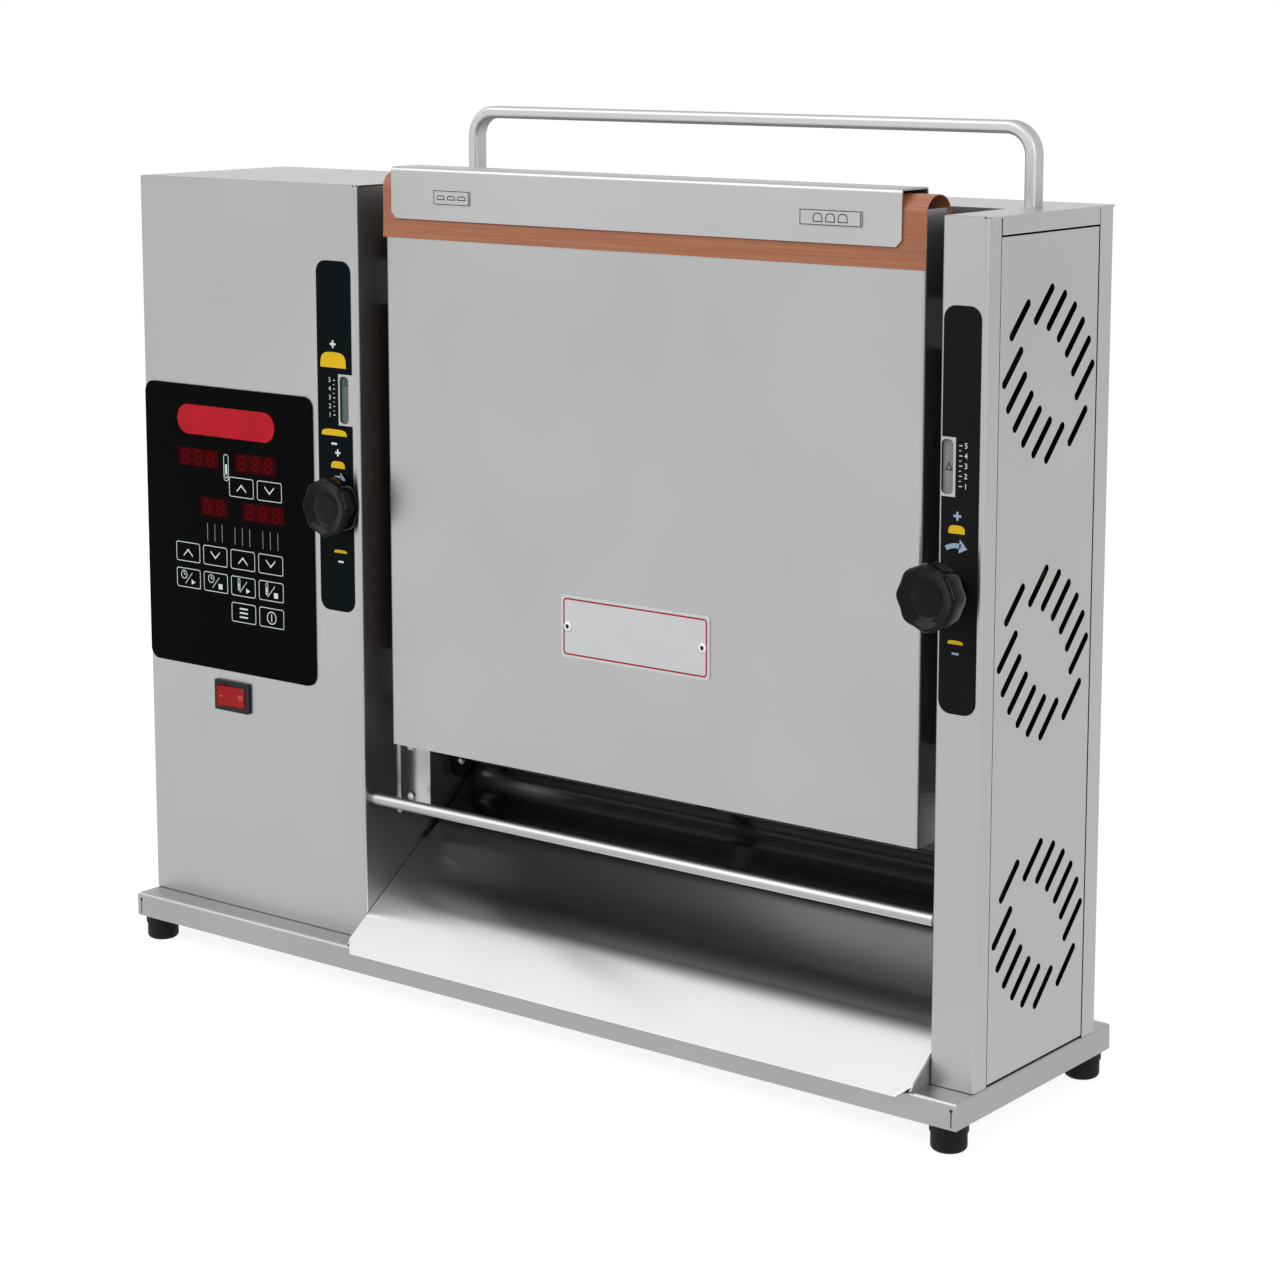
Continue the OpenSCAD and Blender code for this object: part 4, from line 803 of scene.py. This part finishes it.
def knob(name, node, body):
    """Replaces a node's plain knob."""
    low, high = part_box(node)
    x, z = (low.x + high.x) / 2, (low.z + high.z) / 2
    back = (high.y - low.y) / MM
    hub = [(HUB_R, back - HUB_CHAMFER, 0), (HUB_R - HUB_CHAMFER, back, 0), (BORE_R, back, 0),
           (BORE_R, BORE_FLOOR, 0)]
    mesh = bmesh.new()
    rows = []
    for r, depth, share in KNOB_FACE + hub:
        row = []
        for i in range(KNOB_STEPS):
            a = 2 * math.pi * i / KNOB_STEPS
            wave = share * (0.5 - 0.5 * math.cos(KNOB_LOBES * a))
            dip = KNOB_FLUTE * wave if depth < FLUTES_END else 0
            reach = (r - KNOB_LOBE * wave) * MM
            y = low.y + (depth + dip) * MM
            row.append(mesh.verts.new((x + reach * math.cos(a), y, z + reach * math.sin(a))))
        rows.append(row)
    skin(mesh, rows)
    obj = piece(name, mesh, KNOB_BLACK, body)
    smooth(obj, 50)
    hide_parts(node)


knob("left_lobed_knob", "left_knob", "left_adjuster")
knob("right_lobed_knob", "right_knob", "right_adjuster")

# Notice plate on the platen cover, bare inside its border

NOTICE = (377.5, 221.3, 497.0, 262.3)
NOTICE_T = 0.8 * MM
NOTICE_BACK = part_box("platen_cover")[0].y
NOTICE_FACE = NOTICE_BACK - NOTICE_T
BORDER_INSET, BORDER_W = 1.8, 1.0
RIVET_INSET, RIVET_STEPS = 5.4, 24
RIVET_BORE, RIVET_FLOOR = 1.3, 0.3
# Hollow rivet: radius and height in front of the plate, from the rim to the bore's floor
RIVET = [(3.2, 0), (3.1, 0.35), (2.7, 0.75), (2.1, 0.95), (1.6, 0.9), (1.4, 0.65), (1.35, RIVET_FLOOR)]

plate("notice_plate", [rounded(*NOTICE, 2.4)], NOTICE_BACK, NOTICE_T, PLATE_WHITE)
border = framed(inset(NOTICE, BORDER_INSET), 2.6, BORDER_W, 1.6)
plate("notice_border", [border], NOTICE_FACE, PRINT, PLATE_RED)


def rivet(mesh, x, z):
    """Rivet head that stands on the notice plate."""
    rows = []
    for r, h in RIVET:
        places = [at(px, pz) for px, pz in round_spot(x, z, r, RIVET_STEPS)]
        rows.append([mesh.verts.new((px, NOTICE_FACE - h * MM, pz)) for px, pz in places])
    skin(mesh, rows)


x0, z0, x1, z1 = inset(NOTICE, RIVET_INSET)
rivets = [(x, (z0 + z1) / 2) for x in (x0, x1)]
mesh = bmesh.new()
for x, z in rivets:
    rivet(mesh, x, z)
piece("notice_rivets", mesh, GUIDE_STEEL, "housing")
# Black discs on the bores' shallow floors: painted shade in the hollow rivets
bores = [round_spot(x, z, RIVET_BORE) for x, z in rivets]
plate("notice_rivet_bores", bores, NOTICE_FACE - RIVET_FLOOR * MM, PRINT, BLACK_RUBBER)

# Plates on the clip, with half buns in outline

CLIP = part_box("sheet_clip")[0].y
CLIP_PLATE_T = 0.9 * MM
CLIP_PLATE_LOW, CLIP_PLATE_HIGH = 509.6, 519.4
CLIP_INSET, CLIP_LINE = 0.3, 0.5
BUN_W, BUN_LINE, BUN_PITCH = 7.0, 0.6, 9.0


def half_bun_line(x, z, h):
    """Outline of a half bun, h tall, with its middle at x and its flat side at z."""
    half = BUN_W / 2
    inner = bun(x - half + BUN_LINE, x + half - BUN_LINE, z + BUN_LINE, h - 2 * BUN_LINE)
    return ring(bun(x - half, x + half, z, h), inner)


for name, x0, x1, tall in (("left_clip_plate", 272.0, 303.0, 3.0), ("right_clip_plate", 564.0, 608.5, 5.4)):
    box = (x0, CLIP_PLATE_LOW, x1, CLIP_PLATE_HIGH)
    plate(name, [rounded(*box, 0.8)], CLIP, CLIP_PLATE_T, CROSS_STEEL)
    flat = (CLIP_PLATE_LOW + CLIP_PLATE_HIGH) / 2 - tall / 2
    shapes = [framed(inset(box, CLIP_INSET), 0.6, CLIP_LINE, 0.4)]
    shapes += [half_bun_line((x0 + x1) / 2 + k * BUN_PITCH, flat, tall) for k in (-1, 0, 1)]
    plate(name + "_pictogram", shapes, CLIP - CLIP_PLATE_T, PRINT, PICTOGRAM_GREY)

# Edges that close the gaps at the chute's ends, and cheeks below them in line with the towers' inner walls

CHUTE_T = 1.2 * MM
CHUTE_SLOPE = math.radians(35.4)
CHUTE_CORNER = 6.2 * MM
EDGE_BACK, EDGE_CHAMFER = FRONT + 60 * MM, 2.5 * MM
# Room between the edges and the chute, the left wall and the right wall
CHUTE_GAP, LEFT_GAP, RIGHT_GAP = 0.05 * MM, 0.4 * MM, 0.6 * MM
# Room between the cheeks and the walls, and between the cheeks and the edges
CHEEK_GAP, CHEEK_DROP = 0.2 * MM, 0.1 * MM
chute_low, chute_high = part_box("chute")
inner_left, inner_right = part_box("left_tower_front")[1].x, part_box("right_tower_front")[0].x


def chute_height(y, below):
    """Height on the chute's long slope at the depth y, so far below its face."""
    face = chute_low.z + CHUTE_T * math.cos(CHUTE_SLOPE) + (y - chute_low.y) * math.tan(CHUTE_SLOPE)
    return face - below / math.cos(CHUTE_SLOPE)


def chute_edge(front):
    """Section of an edge that starts at the depth front."""
    below, above = [[(y, chute_height(y, drop)) for y in (front, EDGE_BACK)] for drop in (CHUTE_T, 0)]
    return below + above[::-1]


edge_front = chute_low.y + CHUTE_CORNER
edge_inner, edge_outer = chute_edge(edge_front), chute_edge(edge_front + EDGE_CHAMFER)
mesh = bmesh.new()
prism(mesh, edge_outer, inner_left + LEFT_GAP, chute_low.x - CHUTE_GAP, edge_inner)
prism(mesh, edge_inner, chute_high.x + CHUTE_GAP, inner_right - RIGHT_GAP, edge_outer)
piece("chute_edges", mesh, CHUTE_STEEL, "housing")

# A cheek's foot starts behind the base's front, its tip leans forwards, its back lies along the tower's wall
cheek_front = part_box("base_pan")[0].y + 1.5 * MM
cheek_tip = cheek_front - 3 * MM
cheek_back = FRONT + 3 * MM
cheek_below = CHUTE_T + CHEEK_DROP
cheek = [(cheek_front, BASE), (cheek_back, BASE), (cheek_back, chute_height(cheek_back, cheek_below)),
         (cheek_tip, chute_height(cheek_tip, cheek_below))]
mesh = bmesh.new()
for x in (inner_left + CHEEK_GAP, inner_right - CHEEK_GAP - CHUTE_T):
    prism(mesh, cheek, x, x + CHUTE_T)
piece("chute_cheeks", mesh, CHEEK_STEEL, "housing")

# Release sheet: arches over the platen cover's top, and its free front edge curls a little

SHEET_T = 0.5 * MM
ARCH_H, ARCH_SINK = 10.5 * MM, 2.5 * MM
FRONT_HANG = 33 * MM
CURL, CURL_END = 0.9 * MM, 18 * MM
HANG_ROWS, ARCH_ROWS, BACK_ROWS, SHEET_COLUMNS = 14, 24, 12, 90
sheet_low, sheet_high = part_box("release_sheet")
sheet_width = sheet_high.x - sheet_low.x
half_depth = (sheet_high.y - sheet_low.y) / 2 - SHEET_T / 2
arch_y = (sheet_high.y + sheet_low.y) / 2
arch_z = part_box("platen_cover")[1].z - ARCH_SINK
back_hang = arch_z - sheet_low.z


def arch_point(a):
    """Place and outward normal on the arch, from its front foot (0) to its back foot (pi)."""
    normal = Vector((0, -math.cos(a) / half_depth, math.sin(a) / ARCH_H)).normalized()
    return Vector((0, arch_y - half_depth * math.cos(a), arch_z + ARCH_H * math.sin(a))), normal


def sheet_profile():
    """Places and normals from the sheet's front edge to its back edge, with the share of free curl."""
    rows = []
    for i in range(HANG_ROWS):
        up = FRONT_HANG * i / HANG_ROWS
        free = max(0.0, 1 - up / CURL_END) ** 2
        rows.append((Vector((0, arch_y - half_depth, arch_z - FRONT_HANG + up)), Vector((0, -1, 0)), free))
    for i in range(ARCH_ROWS):
        rows.append((*arch_point(math.pi * i / ARCH_ROWS), 0.0))
    for i in range(BACK_ROWS + 1):
        down = back_hang * i / BACK_ROWS
        rows.append((Vector((0, arch_y + half_depth, arch_z - down)), Vector((0, 1, 0)), 0.0))
    return rows


def curl(x):
    """How far the free front edge stands off at x, unevenly along the edge."""
    return CURL * (0.75 + 0.25 * math.sin(x * 31.0) * math.sin(x * 12.0 + 0.6))


def release_sheet():
    mesh = bmesh.new()
    profile = sheet_profile()
    xs = [sheet_low.x + sheet_width * i / SHEET_COLUMNS for i in range(SHEET_COLUMNS + 1)]
    sides = []
    for side in (0.5, -0.5):
        grid = []
        for place, normal, free in profile:
            middle = place + normal * SHEET_T * side
            grid.append([mesh.verts.new(middle + Vector((x, -curl(x) * free, 0))) for x in xs])
        sides.append(grid)
    outer, inner = sides
    rows, cols = len(outer), len(xs)
    for grid in sides:
        for i in range(rows - 1):
            for j in range(cols - 1):
                mesh.faces.new((grid[i][j], grid[i][j + 1], grid[i + 1][j + 1], grid[i + 1][j]))
    edge = [(i, 0) for i in range(rows)] + [(rows - 1, j) for j in range(1, cols)]
    edge += [(i, cols - 1) for i in range(rows - 2, -1, -1)] + [(0, j) for j in range(cols - 2, 0, -1)]
    band(mesh, [outer[i][j] for i, j in edge], [inner[i][j] for i, j in edge])
    obj = piece("release_sheet_cloth", mesh, CLOTH, "housing")
    smooth(obj, 40)
    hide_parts("release_sheet")
    middle = [place for place, normal, free in profile]


release_sheet()

# Studio

GROUND_SIZE, GROUND_DROP = 30.0, 0.2 * MM
GROUND_GREY, GROUND_GLOW = (0.3, 0.3, 0.3, 1), 0.85
AMBIENT_COLOR, AMBIENT = (0.94, 0.97, 1.0, 1), 0.55
LAMP_TARGET = Vector((0, 0, 0.3))


def seen_rays(tree):
    """1 for camera, glossy and transmission rays, which see the white background."""
    path = tree.nodes.new("ShaderNodeLightPath")
    total = path.outputs["Is Camera Ray"]
    for name in ("Is Glossy Ray", "Is Transmission Ray"):
        node = tree.nodes.new("ShaderNodeMath")
        node.operation = "MAXIMUM"
        tree.links.new(total, node.inputs[0])
        tree.links.new(path.outputs[name], node.inputs[1])
        total = node.outputs[0]
    return total


def ground_material():
    """Pale floor: its own light makes it white to the eye, and its diffuse part keeps the shadow."""
    mat = bpy.data.materials.new("ground")
    mat.use_nodes = True
    tree = mat.node_tree
    tree.nodes.clear()
    diffuse = tree.nodes.new("ShaderNodeBsdfDiffuse")
    diffuse.inputs["Color"].default_value = GROUND_GREY
    glow = tree.nodes.new("ShaderNodeEmission")
    level = tree.nodes.new("ShaderNodeMath")
    level.operation = "MULTIPLY"
    level.inputs[1].default_value = GROUND_GLOW
    both = tree.nodes.new("ShaderNodeAddShader")
    out = tree.nodes.new("ShaderNodeOutputMaterial")
    tree.links.new(seen_rays(tree), level.inputs[0])
    tree.links.new(level.outputs[0], glow.inputs["Strength"])
    tree.links.new(diffuse.outputs[0], both.inputs[0])
    tree.links.new(glow.outputs[0], both.inputs[1])
    tree.links.new(both.outputs[0], out.inputs[0])
    return mat


def ground():
    mesh = bmesh.new()
    bmesh.ops.create_grid(mesh, x_segments=1, y_segments=1, size=GROUND_SIZE / 2)
    data = bpy.data.meshes.new("ground")
    mesh.to_mesh(data)
    mesh.free()
    data.materials.append(ground_material())
    obj = bpy.data.objects.new("ground", data)
    obj.location.z = -GROUND_DROP
    bpy.context.collection.objects.link(obj)


def world():
    """White to the eye and in reflections, a plain grey light on matt surfaces."""
    scene_world = bpy.data.worlds.new("studio")
    scene_world.use_nodes = True
    tree = scene_world.node_tree
    tree.nodes.clear()
    seen = tree.nodes.new("ShaderNodeBackground")
    seen.inputs["Color"].default_value = (1, 1, 1, 1)
    ambient = tree.nodes.new("ShaderNodeBackground")
    ambient.inputs["Color"].default_value = AMBIENT_COLOR
    ambient.inputs["Strength"].default_value = AMBIENT
    mix = tree.nodes.new("ShaderNodeMixShader")
    out = tree.nodes.new("ShaderNodeOutputWorld")
    tree.links.new(seen_rays(tree), mix.inputs[0])
    tree.links.new(ambient.outputs[0], mix.inputs[1])
    tree.links.new(seen.outputs[0], mix.inputs[2])
    tree.links.new(mix.outputs[0], out.inputs[0])
    bpy.context.scene.world = scene_world


def lamp(name, place, size, power):
    """Round soft lamp that faces the object."""
    light = bpy.data.lights.new(name, "AREA")
    light.shape = "DISK"
    light.size = size
    light.energy = power
    obj = bpy.data.objects.new(name, light)
    obj.location = place
    obj.rotation_euler = (LAMP_TARGET - Vector(place)).to_track_quat("-Z", "Y").to_euler()
    bpy.context.collection.objects.link(obj)


ground()
world()
lamp("key_light", (-1.4, -2.2, 2.4), 3.0, 55)
lamp("fill_light", (2.6, -1.0, 1.6), 1.6, 22)

# Camera, at the photograph's viewing angle

PICTURE = 1280
FOCAL_PIXELS = 3011
SENSOR = 36.0
SHIFT = -0.13
CAMERA_PLACE = (1.2421, -1.5335, 0.6734)
YAW, PITCH = math.radians(37.92), math.radians(8.86)
camera_data = bpy.data.cameras.new("camera")
camera_data.sensor_width = SENSOR
camera_data.lens = FOCAL_PIXELS * SENSOR / PICTURE
camera_data.shift_y = SHIFT
camera = bpy.data.objects.new("camera", camera_data)
camera.location = CAMERA_PLACE
camera.rotation_euler = (math.pi / 2 - PITCH, 0, YAW)
bpy.context.collection.objects.link(camera)
bpy.context.scene.camera = camera
bpy.context.scene.view_settings.view_transform = "Standard"
